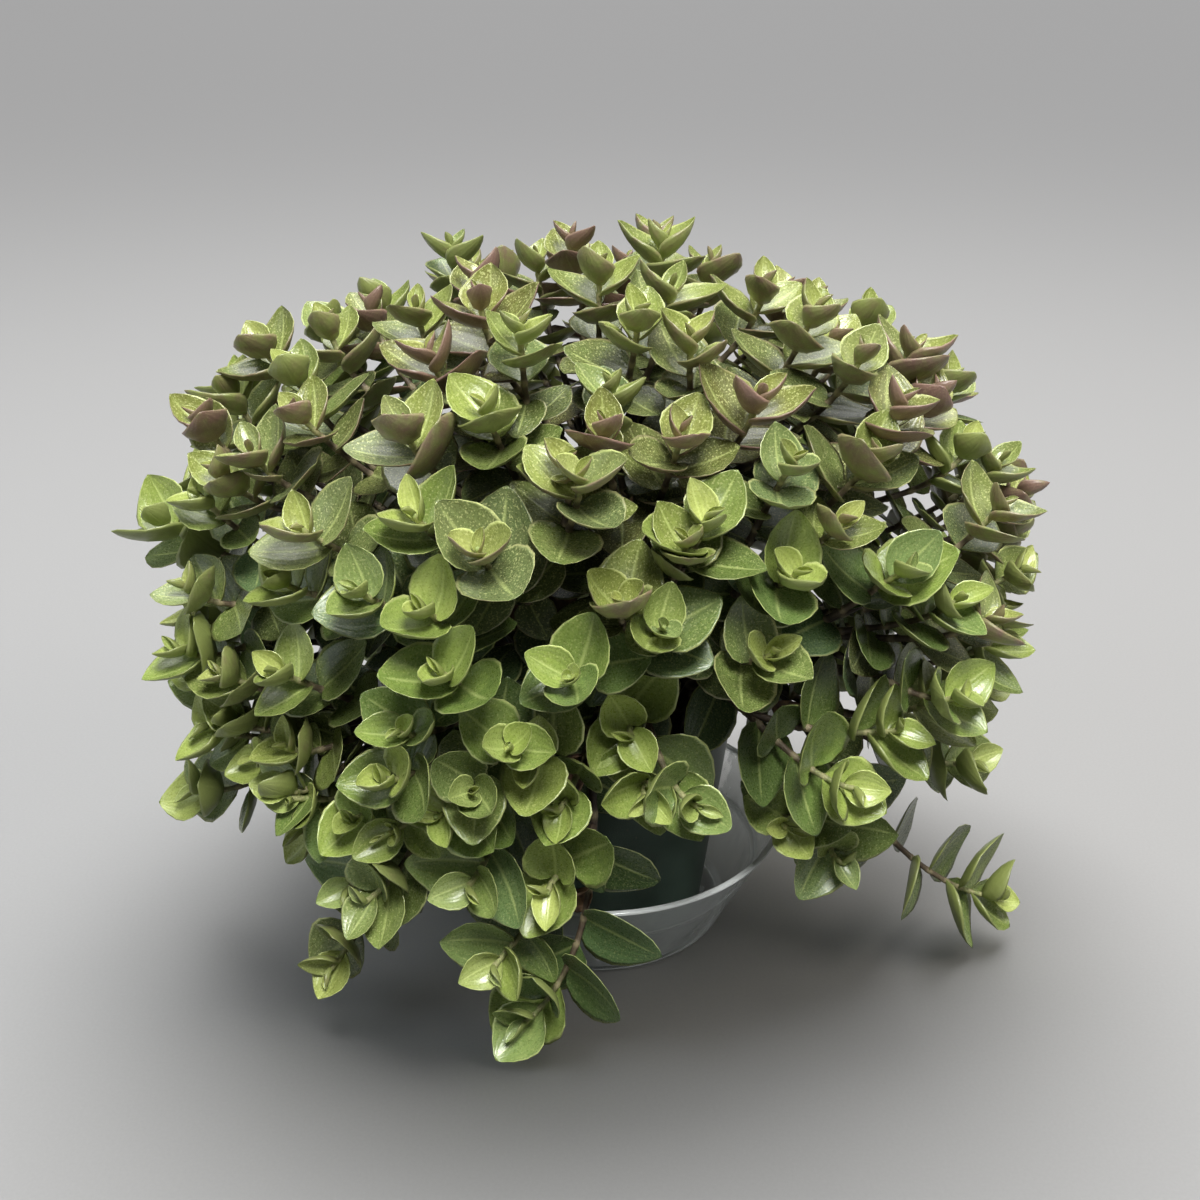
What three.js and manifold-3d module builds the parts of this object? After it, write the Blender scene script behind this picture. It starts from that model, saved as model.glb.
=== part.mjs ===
// A trailing inch plant in a round nursery pot that stands in a deep clear saucer.
// Millimetres, +Z up. The origin is the middle of the saucer's flat underside, -Y is the front.
import * as THREE from "three";
import { mergeVertices } from "three/addons/utils/BufferGeometryUtils.js";
import Module from "manifold-3d";

const wasm = await Module();
wasm.setup();

// Driving dimensions of the saucer and the pot
const GAP = 0.3;
const ROUND_STEPS = 32;
const SAUCER = {
  baseRadius: 47.5, rimRadius: 66.5, height: 40, wall: 1.1, footEdge: 2, footRise: 1.6, lip: 1.5, lipOut: 1,
  ribs: 6, ribHeight: 1.6, ribWidth: 2, ribReach: 2,
};
const POT = {
  bottom: SAUCER.wall + SAUCER.ribHeight + GAP, baseRadius: 38.5, rimRadius: 50.4, height: 89, wall: 1.2,
  edge: 1, lip: 1.8, lipHeight: 9, holes: 6, holeRadius: 3.5, holeSteps: 8, holeRing: 0.72, ribStart: 0.3,
};
const SOIL = { top: 80, stemHole: 3.2, holeSides: 4, holeBelow: 1.1, rootDepth: 11, collar: 3, steps: 24 };

// Driving dimensions of the plant
const TURN = Math.PI * (3 - Math.sqrt(5));
const STEM = {
  radius: 1.6, branchRadius: 1.3, sides: 3, stepLength: 34, clear: 4.6, sample: 4, divisions: 32,
};
const RISE = {
  ring: 41, fullRingPolar: 125, ringPower: 0.85, farthest: 44, level: 122, above: 0.25, below: 0.38, over: 10,
  arrive: 0.36,
};
const FORK = { follow: 0.7, leave: 0.34, arrive: 0.34 };
const MOUND = {
  centre: 135, height: 102, power: 2.5, back: 8, shoots: 160, stems: 35, spread: 1.45, stemSpread: 1.36,
  lean: 0.46, mostLean: 46, unevenLean: 9, aside: 16,
};
const LEAF = {
  length: 24.5, halfWidth: 0.4, thick: 1.3, lowPoint: 0.4, larger: 1.25, least: 0.85, smallerOnTop: 0.12,
  light: 0.5, trailOut: 0.55, trailLight: 0.65, turn: 152, trailTurn: 168, trailGap: 1.2, bareMain: 0.25,
  bareBranch: 0.12,
};
const LEAF_SIZES = [0.34, 0.55, 0.76, 0.9, 1.0, 1.02, 1.0, 0.97, 0.94, 0.9, 0.88, 0.86, 0.84, 0.82, 0.8];
const LEAF_ANGLES = [16, 34, 48, 56, 62, 66, 70, 74, 76, 78, 80, 80, 80, 80, 80];
const LEAF_GAPS = [2, 2.5, 3.5, 4.5, 6, 7, 8, 8.5, 9, 9.5, 10, 10, 11, 11, 12];
const CROWN_LEAVES = 11;
const TRAIL_LEAVES = 15;
const FLOOR_CLEARANCE = 2;
const SIMPLIFY = 0.3;

// How many leaves of a shoot become blades, and the turns and sizes that are tried to keep each clear.
const CROWN_QUOTA = 2.4;
const TRAIL_QUOTA = 4;
const FIRST_LEAF = 2;
const FITS = [[0, 1], [0.25, 1], [-0.25, 1], [0, 0.85], [0.5, 0.9], [-0.5, 0.9], [0, 0.7]];

// Shoots that hang or lean out of the mound. Each row is one stem: its own tip, then its branches' tips.
// A tip is [azimuth from the front, distance out, height, rise of its end, turn of its end].
const TRAILS = [
  [[-66, 122, 88, 25, 0], [-60, 112, 64, 10, 0]],
  [[-79, 142, 62, 15, 0], [-72, 134, 96, 40, 0]],
  [[-88, 140, 120, 45, 0], [-80, 136, 104, 30, 0]],
  [[-97, 138, 160, 55, 0]],
  [[-106, 130, 190, 70, 0]],
  [[-50, 114, 22, -18, 15], [-46, 110, 56, -10, 0], [-55, 118, 84, 15, 0]],
  [[-36, 108, 84, 15, 0], [-40, 112, 58, 0, 0]],
  [[-24, 98, 66, 5, 0], [-28, 102, 92, 20, 0]],
  [[-15, 92, 13, -25, -45], [-20, 96, 36, -10, -10], [-10, 88, 62, -10, 0]],
  [[-8, 86, 90, 0, -15], [-12, 94, 112, 25, 0]],
  [[8, 76, 110, 10, 0]],
  [[21, 88, 90, 5, 30], [10, 82, 92, 0, -10]],
  [[50, 106, 88, 10, 10], [58, 112, 104, 25, 0]],
  [[79, 146, 18, -8, 15], [57, 98, 50, -5, 10], [46, 87, 68, 0, 10]],
  [[76, 132, 76, 20, 0], [66, 120, 110, 40, 0]],
  [[92, 140, 88, 30, 0], [86, 138, 112, 40, 0]],
  [[97, 136, 164, 50, 0]],
  [[88, 144, 136, 40, 0]],
  [[122, 126, 74, 20, 0], [112, 132, 100, 30, 0]],
  [[158, 118, 42, -20, 10], [150, 122, 76, 10, 0]],
  [[-165, 120, 84, 10, 0], [-176, 124, 64, 0, 0]],
  [[-136, 126, 56, 5, -10], [-126, 130, 90, 25, 0]],
];

const FIRST_TRAIL_SEED = 500;
const TRAIL_LEVEL = 115;

const radians = (degrees) => (degrees * Math.PI) / 180;
const degrees = (angle) => (angle * 180) / Math.PI;
const lerp = (a, b, t) => a + (b - a) * t;
const vec = (x, y, z) => new THREE.Vector3(x, y, z);

// A repeatable draw in 0..1 for item n, and the same in -1..1.
function draw(n, k) {
  const x = Math.sin(n * 127.1 + k * 311.7 + 74.7) * 43758.5453;
  return x - Math.floor(x);
}
const wide = (n, k) => 2 * draw(n, k) - 1;

const outward = (azimuth) => vec(Math.sin(azimuth), -Math.cos(azimuth), 0);
const around = (azimuth) => vec(Math.cos(azimuth), Math.sin(azimuth), 0);

// A bell of height 1 round an azimuth.
function bell(azimuth, centre, width) {
  const off = degrees(azimuth) - centre;
  const wrapped = off - 360 * Math.floor((off + 180) / 360);
  return Math.exp(-((wrapped / width) ** 2));
}

// The mound in plan, and the height of its lower edge.
const moundReach = (azimuth) =>
  118 - 8 * Math.cos(azimuth) + 24 * Math.sin(azimuth) ** 2 - 12 * bell(azimuth, 30, 26);
const moundEdge = (azimuth) =>
  100 - 16 * bell(azimuth, -42, 34) + 34 * bell(azimuth, 26, 26) + 8 * bell(azimuth, 150, 40);

// The mound is rounder over its right and left shoulders, halfway down.
const shoulder = (azimuth, polar) =>
  1 - (0.1 * bell(azimuth, 100, 35) + 0.05 * bell(azimuth, -100, 30)) * Math.sin(2 * polar) ** 2;

// Solids from three.js geometry
function solidOf(geometry) {
  const bare = geometry.clone();
  bare.deleteAttribute("normal");
  bare.deleteAttribute("uv");
  const merged = mergeVertices(bare, 1e-4);
  const index = merged.getIndex().array;
  const kept = [];
  for (let i = 0; i < index.length; i += 3) {
    const [a, b, c] = [index[i], index[i + 1], index[i + 2]];
    if (a !== b && b !== c && c !== a) kept.push(a, b, c);
  }
  return new wasm.Manifold(new wasm.Mesh({
    numProp: 3,
    vertProperties: new Float32Array(merged.getAttribute("position").array),
    triVerts: new Uint32Array(kept),
  }));
}

function meshOf(name, solid, material) {
  const data = solid.getMesh();
  const geometry = new THREE.BufferGeometry();
  geometry.setAttribute("position", new THREE.BufferAttribute(new Float32Array(data.vertProperties), 3));
  geometry.setIndex(new THREE.BufferAttribute(new Uint32Array(data.triVerts), 1));
  geometry.computeVertexNormals();
  const mesh = new THREE.Mesh(geometry, material);
  mesh.name = name;
  return mesh;
}

const facets = (colour, roughness, extra = {}) =>
  new THREE.MeshStandardMaterial({ color: colour, roughness, metalness: 0, flatShading: true, ...extra });
const potMaterial = facets(0x2c4238, 0.45);
const saucerMaterial = facets(0xdde4e6, 0.12, { transparent: true, opacity: 0.3 });
const soilMaterial = facets(0x2a211b, 0.95);
const leafMaterial = facets(0x66843f, 0.45);

function turned(profile, steps = ROUND_STEPS) {
  const points = profile.map(([radius, height]) => new THREE.Vector2(radius, height));
  const geometry = new THREE.LatheGeometry(points, steps);
  geometry.rotateX(Math.PI / 2);
  return solidOf(geometry);
}

function roundSection(radius, sides) {
  const corners = [];
  for (let i = 0; i < sides; i += 1) {
    const angle = (2 * Math.PI * i) / sides;
    corners.push(new THREE.Vector2(Math.cos(angle), Math.sin(angle)).multiplyScalar(radius));
  }
  return new THREE.Shape(corners);
}

// The saucer: a thin flared dish with a rolled lip, and ribs on its floor that the pot stands on.
function saucerSolid() {
  const { baseRadius: base, rimRadius: rim, height, wall, footEdge, footRise, lip, lipOut } = SAUCER;
  let dish = turned([
    [0, 0], [base - footEdge, 0], [base, footRise], [rim - wall / 2, height - lip],
    [rim + lipOut, height - lip], [rim + lipOut, height], [rim - wall, height],
    [base - wall, wall + lipOut], [base - wall - footEdge, wall], [0, wall],
  ]);
  const inner = POT.baseRadius * POT.ribStart;
  const outer = POT.baseRadius + SAUCER.ribReach;
  const thick = SAUCER.ribHeight + wall / 2;
  for (let i = 0; i < SAUCER.ribs; i += 1) {
    const rib = new THREE.BoxGeometry(outer - inner, SAUCER.ribWidth, thick);
    rib.translate((outer + inner) / 2, 0, (wall + thick) / 2);
    rib.rotateZ((2 * Math.PI * i) / SAUCER.ribs);
    dish = dish.add(solidOf(rib));
  }
  return dish;
}

const potOuter = (z) => lerp(POT.baseRadius, POT.rimRadius - POT.edge, (z - POT.bottom) / POT.height);
const potInner = (z) => potOuter(z) - POT.wall;

// The pot: a tapered cup with a stepped lip and drain holes through its floor.
function potSolid() {
  const { bottom, height, wall, edge, lip, lipHeight, baseRadius, rimRadius, holes, holeRadius } = POT;
  const top = bottom + height;
  const lipFoot = top - lipHeight;
  const floorTop = bottom + wall;
  let cup = turned([
    [0, bottom], [baseRadius - edge, bottom], [baseRadius, bottom + edge], [potOuter(lipFoot), lipFoot],
    [potOuter(lipFoot) + lip, lipFoot], [rimRadius + lip, top], [rimRadius, top],
    [potInner(lipFoot), lipFoot - edge], [potInner(floorTop) - edge, floorTop], [0, floorTop],
  ]);
  for (let i = 0; i < holes; i += 1) {
    const drain = new THREE.CylinderGeometry(holeRadius, holeRadius, wall * 3, POT.holeSteps);
    drain.rotateX(Math.PI / 2);
    drain.translate(baseRadius * POT.holeRing, 0, bottom + wall / 2);
    drain.rotateZ((2 * Math.PI * (i + 0.5)) / holes);
    cup = cup.subtract(solidOf(drain));
  }
  return cup;
}

// The soil fills the pot level, with a plain hole round each stem.
function soilSolid(stems) {
  const foot = POT.bottom + POT.wall + GAP;
  const radius = potInner(SOIL.top) - GAP * 2;
  const footRadius = potInner(foot) - POT.edge - GAP * 3;
  let soil = turned([[0, foot], [footRadius, foot], [radius, SOIL.top], [0, SOIL.top]], SOIL.steps);
  for (const [{ route }] of stems) {
    const whole = route.getLength();
    const root = onRod(route, whole);
    const above = onRod(route, whole - 2 * SOIL.rootDepth);
    const below = root.clone().lerp(above, -SOIL.holeBelow / root.distanceTo(above));
    const hole = new THREE.ExtrudeGeometry(roundSection(SOIL.stemHole, SOIL.holeSides),
      { steps: 1, extrudePath: new THREE.LineCurve3(below, above), bevelEnabled: false });
    soil = soil.subtract(solidOf(hole));
  }
  return soil.asOriginal().simplify(SIMPLIFY / 10);
}

// Paths: each stem is one cubic curve that leaves the soil upright.
const curve = (a, b, c, d) => new THREE.CubicBezierCurve3(a, b, c, d);
const towards = (from, direction, distance) => from.clone().addScaledVector(direction, distance);

function mainPath(shoot, ringShift, turnShift, bend) {
  const { azimuth, polar, tip, axis } = shoot;
  const ring = RISE.ring * Math.min(1, polar / radians(RISE.fullRingPolar)) ** RISE.ringPower;
  const radius = Math.min(RISE.farthest, Math.max(0, ring + ringShift));
  const root = outward(azimuth + turnShift).multiplyScalar(radius).setZ(SOIL.top + SOIL.collar);
  const higher = tip.z - 120;
  const high = RISE.level + (higher > 0 ? RISE.above * higher : -RISE.below * higher);
  const over = (RISE.over * Math.max(0, degrees(polar) - 90)) / 45;
  const rise = vec(root.x, root.y, high).addScaledVector(outward(azimuth), over);
  rise.addScaledVector(around(azimuth), bend);
  return curve(root, rise, towards(tip, axis, -RISE.arrive * tip.distanceTo(rise)), tip);
}

function branchPath(main, at, shoot, bend) {
  const { tip, axis } = shoot;
  const start = main.getPointAt(at);
  const along = main.getTangentAt(at);
  const span = tip.distanceTo(start);
  const way = tip.clone().sub(start).normalize();
  const side = way.clone().cross(vec(0, 0, 1)).normalize().multiplyScalar(bend);
  const leave = along.multiplyScalar(FORK.follow).add(way).normalize();
  const first = towards(start, leave, FORK.leave * span).add(side);
  return curve(start, first, towards(tip, axis, -FORK.arrive * span).add(side), tip);
}

function pathLength(path) {
  path.arcLengthDivisions = STEM.divisions;
  path.updateArcLengths();
  return path.getLength();
}

const lineOf = (path) => path.getPoints(Math.max(6, Math.floor(pathLength(path) / STEM.sample)) - 1);

function closest(lineA, lineB) {
  let best = Infinity;
  for (const a of lineA) for (const b of lineB) best = Math.min(best, a.distanceToSquared(b));
  return Math.sqrt(best);
}

// The first of several paths that stays clear of the stems already placed, or else the clearest.
function settle(paths, lines) {
  let best = null;
  for (const choice of paths) {
    const line = lineOf(choice.path);
    const gap = Math.min(99, ...lines.map((other) => closest(line, other.line)));
    if (!best || gap > best.gap + 1e-6) best = { ...choice, gap, line };
    if (gap >= STEM.clear) break;
  }
  return best;
}

function* mainChoices(shoot) {
  for (const ring of [0, -5, 5, -9]) {
    for (const turn of [0, 8, -8, 16, -16]) {
      for (const bend of [0, 7, -7]) yield { path: mainPath(shoot, ring, radians(turn), bend) };
    }
  }
}

function* branchChoices(main, shoot) {
  for (const at of [0.5, 0.4, 0.6, 0.3, 0.7, 0.8]) {
    for (const bend of [0, 5, -5, 10, -10]) yield { at, path: branchPath(main, at, shoot, bend) };
  }
}

// Shoots of the mound stand on a golden-angle spiral over a rounded, flat-topped dome.
function crownShoots() {
  const shoots = [];
  for (let i = 0; i < MOUND.shoots; i += 1) {
    const share = (i + 0.5) / MOUND.shoots;
    const polar = Math.abs(Math.acos(1 - share * MOUND.spread) + radians(3) * wide(i, 2));
    const azimuth = i * TURN + 0.22 * wide(i, 1);
    const c = Math.cos(polar);
    const s = Math.abs(Math.sin(polar));
    const flat = 2 / MOUND.power;
    const grow = (1 + 0.05 * wide(i, 3)) * shoulder(azimuth, polar);
    const tip = outward(azimuth).multiplyScalar(moundReach(azimuth) * s ** flat);
    tip.add(vec(0, MOUND.back, MOUND.height * Math.sign(c) * Math.abs(c) ** flat)).multiplyScalar(grow);
    tip.z += MOUND.centre;
    if (tip.z < moundEdge(azimuth)) continue;
    const lean = Math.min(radians(MOUND.mostLean), MOUND.lean * polar)
      + radians(MOUND.unevenLean) * (wide(i, 4) + Math.cos(azimuth) * Math.sin(polar));
    const aside = azimuth + radians(MOUND.aside) * wide(i, 5);
    const axis = outward(aside).multiplyScalar(Math.sin(lean)).add(vec(0, 0, Math.cos(lean)));
    shoots.push({ azimuth, polar, tip, axis, seed: i, trail: false });
  }
  return shoots;
}

const heading = (azimuth, polar) =>
  outward(azimuth).multiplyScalar(Math.sin(polar)).add(vec(0, 0, Math.cos(polar)));

// The shoots of the mound, shared out among its stems by the nearest of a coarser spiral.
function crownStems() {
  const centres = [];
  for (let g = 0; g < MOUND.stems; g += 1) {
    centres.push(heading(g * TURN, Math.acos(1 - ((g + 0.5) / MOUND.stems) * MOUND.stemSpread)));
  }
  const stems = centres.map(() => []);
  for (const shoot of crownShoots()) {
    const fits = centres.map((centre) => centre.dot(heading(shoot.azimuth, shoot.polar)));
    shoot.fit = Math.max(...fits);
    stems[fits.indexOf(shoot.fit)].push(shoot);
  }
  return stems.filter((stem) => stem.length).map((stem) => stem.sort((a, b) => b.fit - a.fit));
}

function trailStems() {
  let seed = FIRST_TRAIL_SEED;
  return TRAILS.map((row) => row.map(([azimuthDegrees, distance, height, rise, turn]) => {
    const azimuth = radians(azimuthDegrees);
    const tip = outward(azimuth).multiplyScalar(distance).setZ(height);
    const axis = outward(azimuth + radians(turn)).multiplyScalar(Math.cos(radians(rise)));
    axis.z = Math.sin(radians(rise));
    seed += 1;
    const polar = Math.atan2(distance, height - TRAIL_LEVEL);
    return { azimuth, polar, tip, axis, seed: seed - 1, trail: true };
  }));
}

function routeStems(stems) {
  const lines = [];
  stems.forEach((stem, number) => {
    const { path, line } = settle(mainChoices(stem[0]), lines);
    Object.assign(stem[0], { path, route: rodRoute(path, true), main: true });
    lines.push({ number, line });
  });
  stems.forEach((stem, number) => {
    for (const shoot of stem.slice(1)) {
      const others = lines.filter((other) => other.number !== number);
      const { path, line, at } = settle(branchChoices(stem[0].path, shoot), others);
      path.v0 = onRod(stem[0].route, (1 - at) * pathLength(stem[0].path));
      Object.assign(shoot, { path, route: rodRoute(path, false), main: false });
      lines.push({ number, line });
    }
  });
}

// A stem's rod follows its path in a few straight runs. A main stem's rod also goes down into the soil.
function rodRoute(path, rooted) {
  if (!rooted) return path;
  const route = new THREE.CurvePath();
  const root = path.getPoint(0);
  route.add(new THREE.LineCurve3(root.clone().setZ(SOIL.top - SOIL.rootDepth), root));
  route.add(path);
  return route;
}

const rodSteps = (route) => Math.max(3, Math.round(route.getLength() / STEM.stepLength));

// The point of the rod a distance back from its tip.
function onRod(route, back) {
  const steps = rodSteps(route);
  const along = (1 - back / route.getLength()) * steps;
  const run = Math.min(steps - 1, Math.floor(along));
  const ends = route.getSpacedPoints(steps);
  return ends[run].clone().lerp(ends[run + 1], along - run);
}

function rodSolid(route, radius) {
  const options = { steps: rodSteps(route), extrudePath: route, bevelEnabled: false };
  return solidOf(new THREE.ExtrudeGeometry(roundSection(radius, STEM.sides), options));
}

// Leaves stand back from the tip at growing gaps, turning round the stem, the youngest most upright.
// Each faces along its stem, and a little towards the light: up, or up and outwards where a stem hangs out.
function leavesOf(shoot) {
  const { path, route, seed, trail, azimuth, polar, main } = shoot;
  const total = pathLength(path);
  const onTop = Math.max(0, Math.cos(polar));
  const size = LEAF.length * (1 + 0.13 * wide(seed, 7)) * (1 - LEAF.smallerOnTop * onTop);
  const start = 2 * Math.PI * draw(seed, 8);
  const step = radians((trail ? LEAF.trailTurn : LEAF.turn) + 9 * wide(seed, 9));
  const light = trail
    ? outward(azimuth).multiplyScalar(LEAF.trailOut).setZ(LEAF.trailLight)
    : vec(0, 0, LEAF.light);
  const bare = (main ? LEAF.bareMain : LEAF.bareBranch) * total;
  const leaves = [];
  let back = 0;
  for (let k = 0; k < (trail ? TRAIL_LEAVES : CROWN_LEAVES); k += 1) {
    back += LEAF_GAPS[k] * (trail ? LEAF.trailGap : 1) * (1 + 0.15 * wide(seed, 20 + k));
    const at = total - back;
    if (at < bare) break;
    const foot = onRod(route, back);
    const axis = path.getPointAt((at + 1.5) / total).sub(path.getPointAt((at - 1.5) / total)).normalize();
    const level = around(azimuth);
    const across = level.addScaledVector(axis, -level.dot(axis)).normalize();
    const beyond = axis.clone().cross(across);
    const spin = start + k * step + radians(12) * wide(seed, 40 + k);
    const out = across.multiplyScalar(Math.cos(spin)).addScaledVector(beyond, Math.sin(spin));
    const angle = radians(LEAF_ANGLES[k] + 10 * wide(seed, 60 + k));
    const rib = axis.clone().multiplyScalar(Math.cos(angle)).addScaledVector(out, Math.sin(angle));
    const face = axis.clone().multiplyScalar(Math.sin(angle)).addScaledVector(out, -Math.cos(angle));
    face.add(light).normalize();
    rib.addScaledVector(face, -rib.dot(face)).normalize();
    const length = size * Math.max(LEAF.least, LEAF_SIZES[k]) * (1 + 0.08 * wide(seed, 80 + k));
    leaves.push({ foot, rib, face, length });
  }
  return leaves;
}

// A blade is a boat: a flat six-sided outline over one low point, about as thick as the leaf is cupped.
const EDGE = [[-0.03, 0], [0.2, 0.86], [0.62, 0.84], [1, 0], [0.62, -0.84], [0.2, -0.86]];

function bladeSolid(leaf, turn, shrink) {
  const length = leaf.length * LEAF.larger * shrink;
  const rib = leaf.rib.clone().applyAxisAngle(leaf.face, turn);
  const across = leaf.face.clone().cross(rib);
  const place = (u, v, lift) => leaf.foot.clone()
    .addScaledVector(rib, u * length)
    .addScaledVector(across, v * LEAF.halfWidth * length)
    .addScaledVector(leaf.face, lift);
  const points = EDGE.map(([u, v]) => place(u, v, 0));
  points.push(place(LEAF.lowPoint, 0, -LEAF.thick));
  const faces = [0, 5, 1, 1, 5, 2, 2, 5, 4, 2, 4, 3];
  for (let i = 0; i < EDGE.length; i += 1) faces.push(i, (i + 1) % EDGE.length, EDGE.length);
  const geometry = new THREE.BufferGeometry().setFromPoints(points);
  geometry.setIndex(faces);
  return solidOf(geometry);
}

// What no leaf or stem may touch: the floor and a little above it.
function floorSolid() {
  const slab = new THREE.BoxGeometry(600, 600, 20);
  slab.translate(0, 0, FLOOR_CLEARANCE - 10);
  return solidOf(slab);
}

const overlapBox = (a, b) =>
  [0, 1, 2].every((i) => a.min[i] - GAP <= b.max[i] && b.min[i] - GAP <= a.max[i]);

function isClear(solid, box, placed, ignored) {
  return placed.every((item) => item === ignored || !overlapBox(box, item.box)
    || solid.minGap(item.solid, GAP) >= GAP - 1e-3);
}

function plantSolids(stems, fixed) {
  const placed = fixed.map((solid) => ({ solid, box: solid.boundingBox(), number: -1 }));
  stems.forEach((stem, number) => {
    for (const shoot of stem) {
      const solid = rodSolid(shoot.route, shoot.main ? STEM.radius : STEM.branchRadius);
      shoot.rod = { solid, box: solid.boundingBox(), number };
      placed.push(shoot.rod);
    }
  });
  const bodies = stems.map((stem) => stem.map((shoot) => shoot.rod.solid));
  stems.forEach((stem, number) => {
    for (const shoot of stem) {
      let left = shoot.trail ? TRAIL_QUOTA : Math.floor(CROWN_QUOTA + draw(shoot.seed, 6));
      for (const leaf of leavesOf(shoot).slice(FIRST_LEAF)) {
        if (left === 0) break;
        for (const [turn, shrink] of FITS) {
          const solid = bladeSolid(leaf, turn, shrink);
          const box = solid.boundingBox();
          if (isClear(solid, box, placed, shoot.rod)) {
            placed.push({ solid, box, number });
            bodies[number].push(solid);
            left -= 1;
            break;
          }
        }
      }
    }
  });
  return bodies.map((solids) => {
    const pieces = wasm.Manifold.union(solids).asOriginal().simplify(SIMPLIFY).decompose();
    return pieces.reduce((a, b) => (b.volume() > a.volume() ? b : a));
  });
}

const stems = [...crownStems(), ...trailStems()];
routeStems(stems);
const saucer = saucerSolid();
const pot = potSolid();
const soil = soilSolid(stems);
const plants = plantSolids(stems, [saucer, pot, soil, floorSolid()]);

const group = new THREE.Group();
group.add(meshOf("saucer", saucer, saucerMaterial));
group.add(meshOf("pot", pot, potMaterial));
group.add(meshOf("soil", soil, soilMaterial));
plants.forEach((solid, i) => group.add(meshOf(`leafy_stem_${String(i + 1).padStart(2, "0")}`, solid, leafMaterial)));

export default group;
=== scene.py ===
"""Looks of a trailing inch plant in a nursery pot that stands in a deep clear saucer.

The plant grows by the rule that its solids were made by: shoots on a golden-angle spiral over a rounded
mound, shared out among forked stems, and a short list of stems that hang or lean out. Leaves, stems, pot,
saucer and soil are surfaces worked out from a few sizes. Lengths are in millimetres until a mesh is made,
which is in metres.
"""

import logging
import math
from dataclasses import dataclass, field
from enum import Enum

import bpy
import numpy as np
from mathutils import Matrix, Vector
from mathutils.bvhtree import BVHTree

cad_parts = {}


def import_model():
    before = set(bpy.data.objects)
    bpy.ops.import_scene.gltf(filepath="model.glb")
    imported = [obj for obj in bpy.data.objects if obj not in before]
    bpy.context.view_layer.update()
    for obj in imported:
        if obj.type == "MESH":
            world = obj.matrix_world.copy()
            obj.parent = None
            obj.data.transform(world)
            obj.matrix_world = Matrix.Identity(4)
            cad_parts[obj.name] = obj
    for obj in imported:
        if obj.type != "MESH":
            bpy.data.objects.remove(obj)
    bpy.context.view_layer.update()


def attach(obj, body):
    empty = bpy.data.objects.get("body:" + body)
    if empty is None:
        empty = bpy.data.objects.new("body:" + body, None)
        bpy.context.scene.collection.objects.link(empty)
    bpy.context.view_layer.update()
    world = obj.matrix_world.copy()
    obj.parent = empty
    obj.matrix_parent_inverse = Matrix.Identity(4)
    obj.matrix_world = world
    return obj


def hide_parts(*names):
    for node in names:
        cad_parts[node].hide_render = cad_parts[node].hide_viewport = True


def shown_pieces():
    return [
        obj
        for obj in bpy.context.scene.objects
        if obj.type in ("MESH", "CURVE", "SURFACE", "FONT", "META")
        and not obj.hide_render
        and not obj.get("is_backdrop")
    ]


MM = 0.001
BODY = "root"
MOST_ROUNDED = 0.45
GOLDEN_ANGLE = math.pi * (3 - math.sqrt(5))
UP = np.array([0.0, 0.0, 1.0])
ITEM_STEP, KIND_STEP, DRAW_START, DRAW_SCALE = 127.1, 311.7, 74.7, 43758.5453
log = logging.getLogger("inch_plant")

Array = np.ndarray


class Slot(Enum):
    """The record's material slots."""

    LEAF = "leaf"
    POT = "pot"
    SAUCER = "saucer"
    SOIL = "soil"


def unit(vectors: Array) -> Array:
    """Vectors of length one, along the last axis."""
    return vectors / np.linalg.norm(vectors, axis=-1, keepdims=True)


def outward(azimuth: float) -> Array:
    """The level direction away from the plant's middle at an azimuth from the front."""
    return np.array([math.sin(azimuth), -math.cos(azimuth), 0.0])


def around(azimuth: float) -> Array:
    """The level direction round the plant at an azimuth."""
    return np.array([math.cos(azimuth), math.sin(azimuth), 0.0])


def draw(item: Array | float, kind: int) -> Array | float:
    """A repeatable draw in 0..1: the fraction of a large multiple of a sine of the item and the kind."""
    x = np.sin(item * ITEM_STEP + kind * KIND_STEP + DRAW_START) * DRAW_SCALE
    return x - np.floor(x)


def spread(item: Array | float, kind: int) -> Array | float:
    """The same draw in -1..1."""
    return 2 * draw(item, kind) - 1


def bell(azimuth: float, centre: float, width: float) -> float:
    """A bell of height one round an azimuth, in degrees."""
    off = (math.degrees(azimuth) - centre + 180) % 360 - 180
    return math.exp(-((off / width) ** 2))


def bells(azimuth: float, rows: tuple) -> float:
    """A sum of bells, each row with its height, its centre and its width."""
    return sum(height * bell(azimuth, centre, width) for height, centre, width in rows)


def smooth_step(low: float, high: float, x: Array) -> Array:
    """0 below low, 1 above high, and 3t^2 - 2t^3 between."""
    t = np.clip((x - low) / (high - low), 0, 1)
    return t * t * (3 - 2 * t)


def grid_quads(index: Array) -> Array:
    """Four-cornered faces of a grid of point numbers."""
    corners = [index[:-1, :-1], index[1:, :-1], index[1:, 1:], index[:-1, 1:]]
    return np.stack(corners, -1).reshape(-1, 4)


def ring_faces(rings: int, sides: int) -> list[Array]:
    """Faces of a closed tube whose points are its two ends and then its rings."""
    index = 2 + np.arange(rings * sides).reshape(-1, sides)
    after = np.roll(index, -1, axis=1)
    quads = np.stack([index[:-1], after[:-1], after[1:], index[1:]], -1).reshape(-1, 4)
    first = np.stack([np.zeros(sides, int), after[0], index[0]], -1)
    last = np.stack([np.ones(sides, int), index[-1], after[-1]], -1)
    return [quads, np.concatenate([first, last])]


def linked(name: str, data: bpy.types.ID) -> bpy.types.Object:
    """A new object in the scene."""
    made = bpy.data.objects.new(name, data)
    bpy.context.scene.collection.objects.link(made)
    return made


def dress(piece: bpy.types.Object, node: str) -> None:
    """Hangs a piece on the body it rides on and hides the solid it stands for."""
    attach(piece, BODY)
    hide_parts(node)


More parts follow.
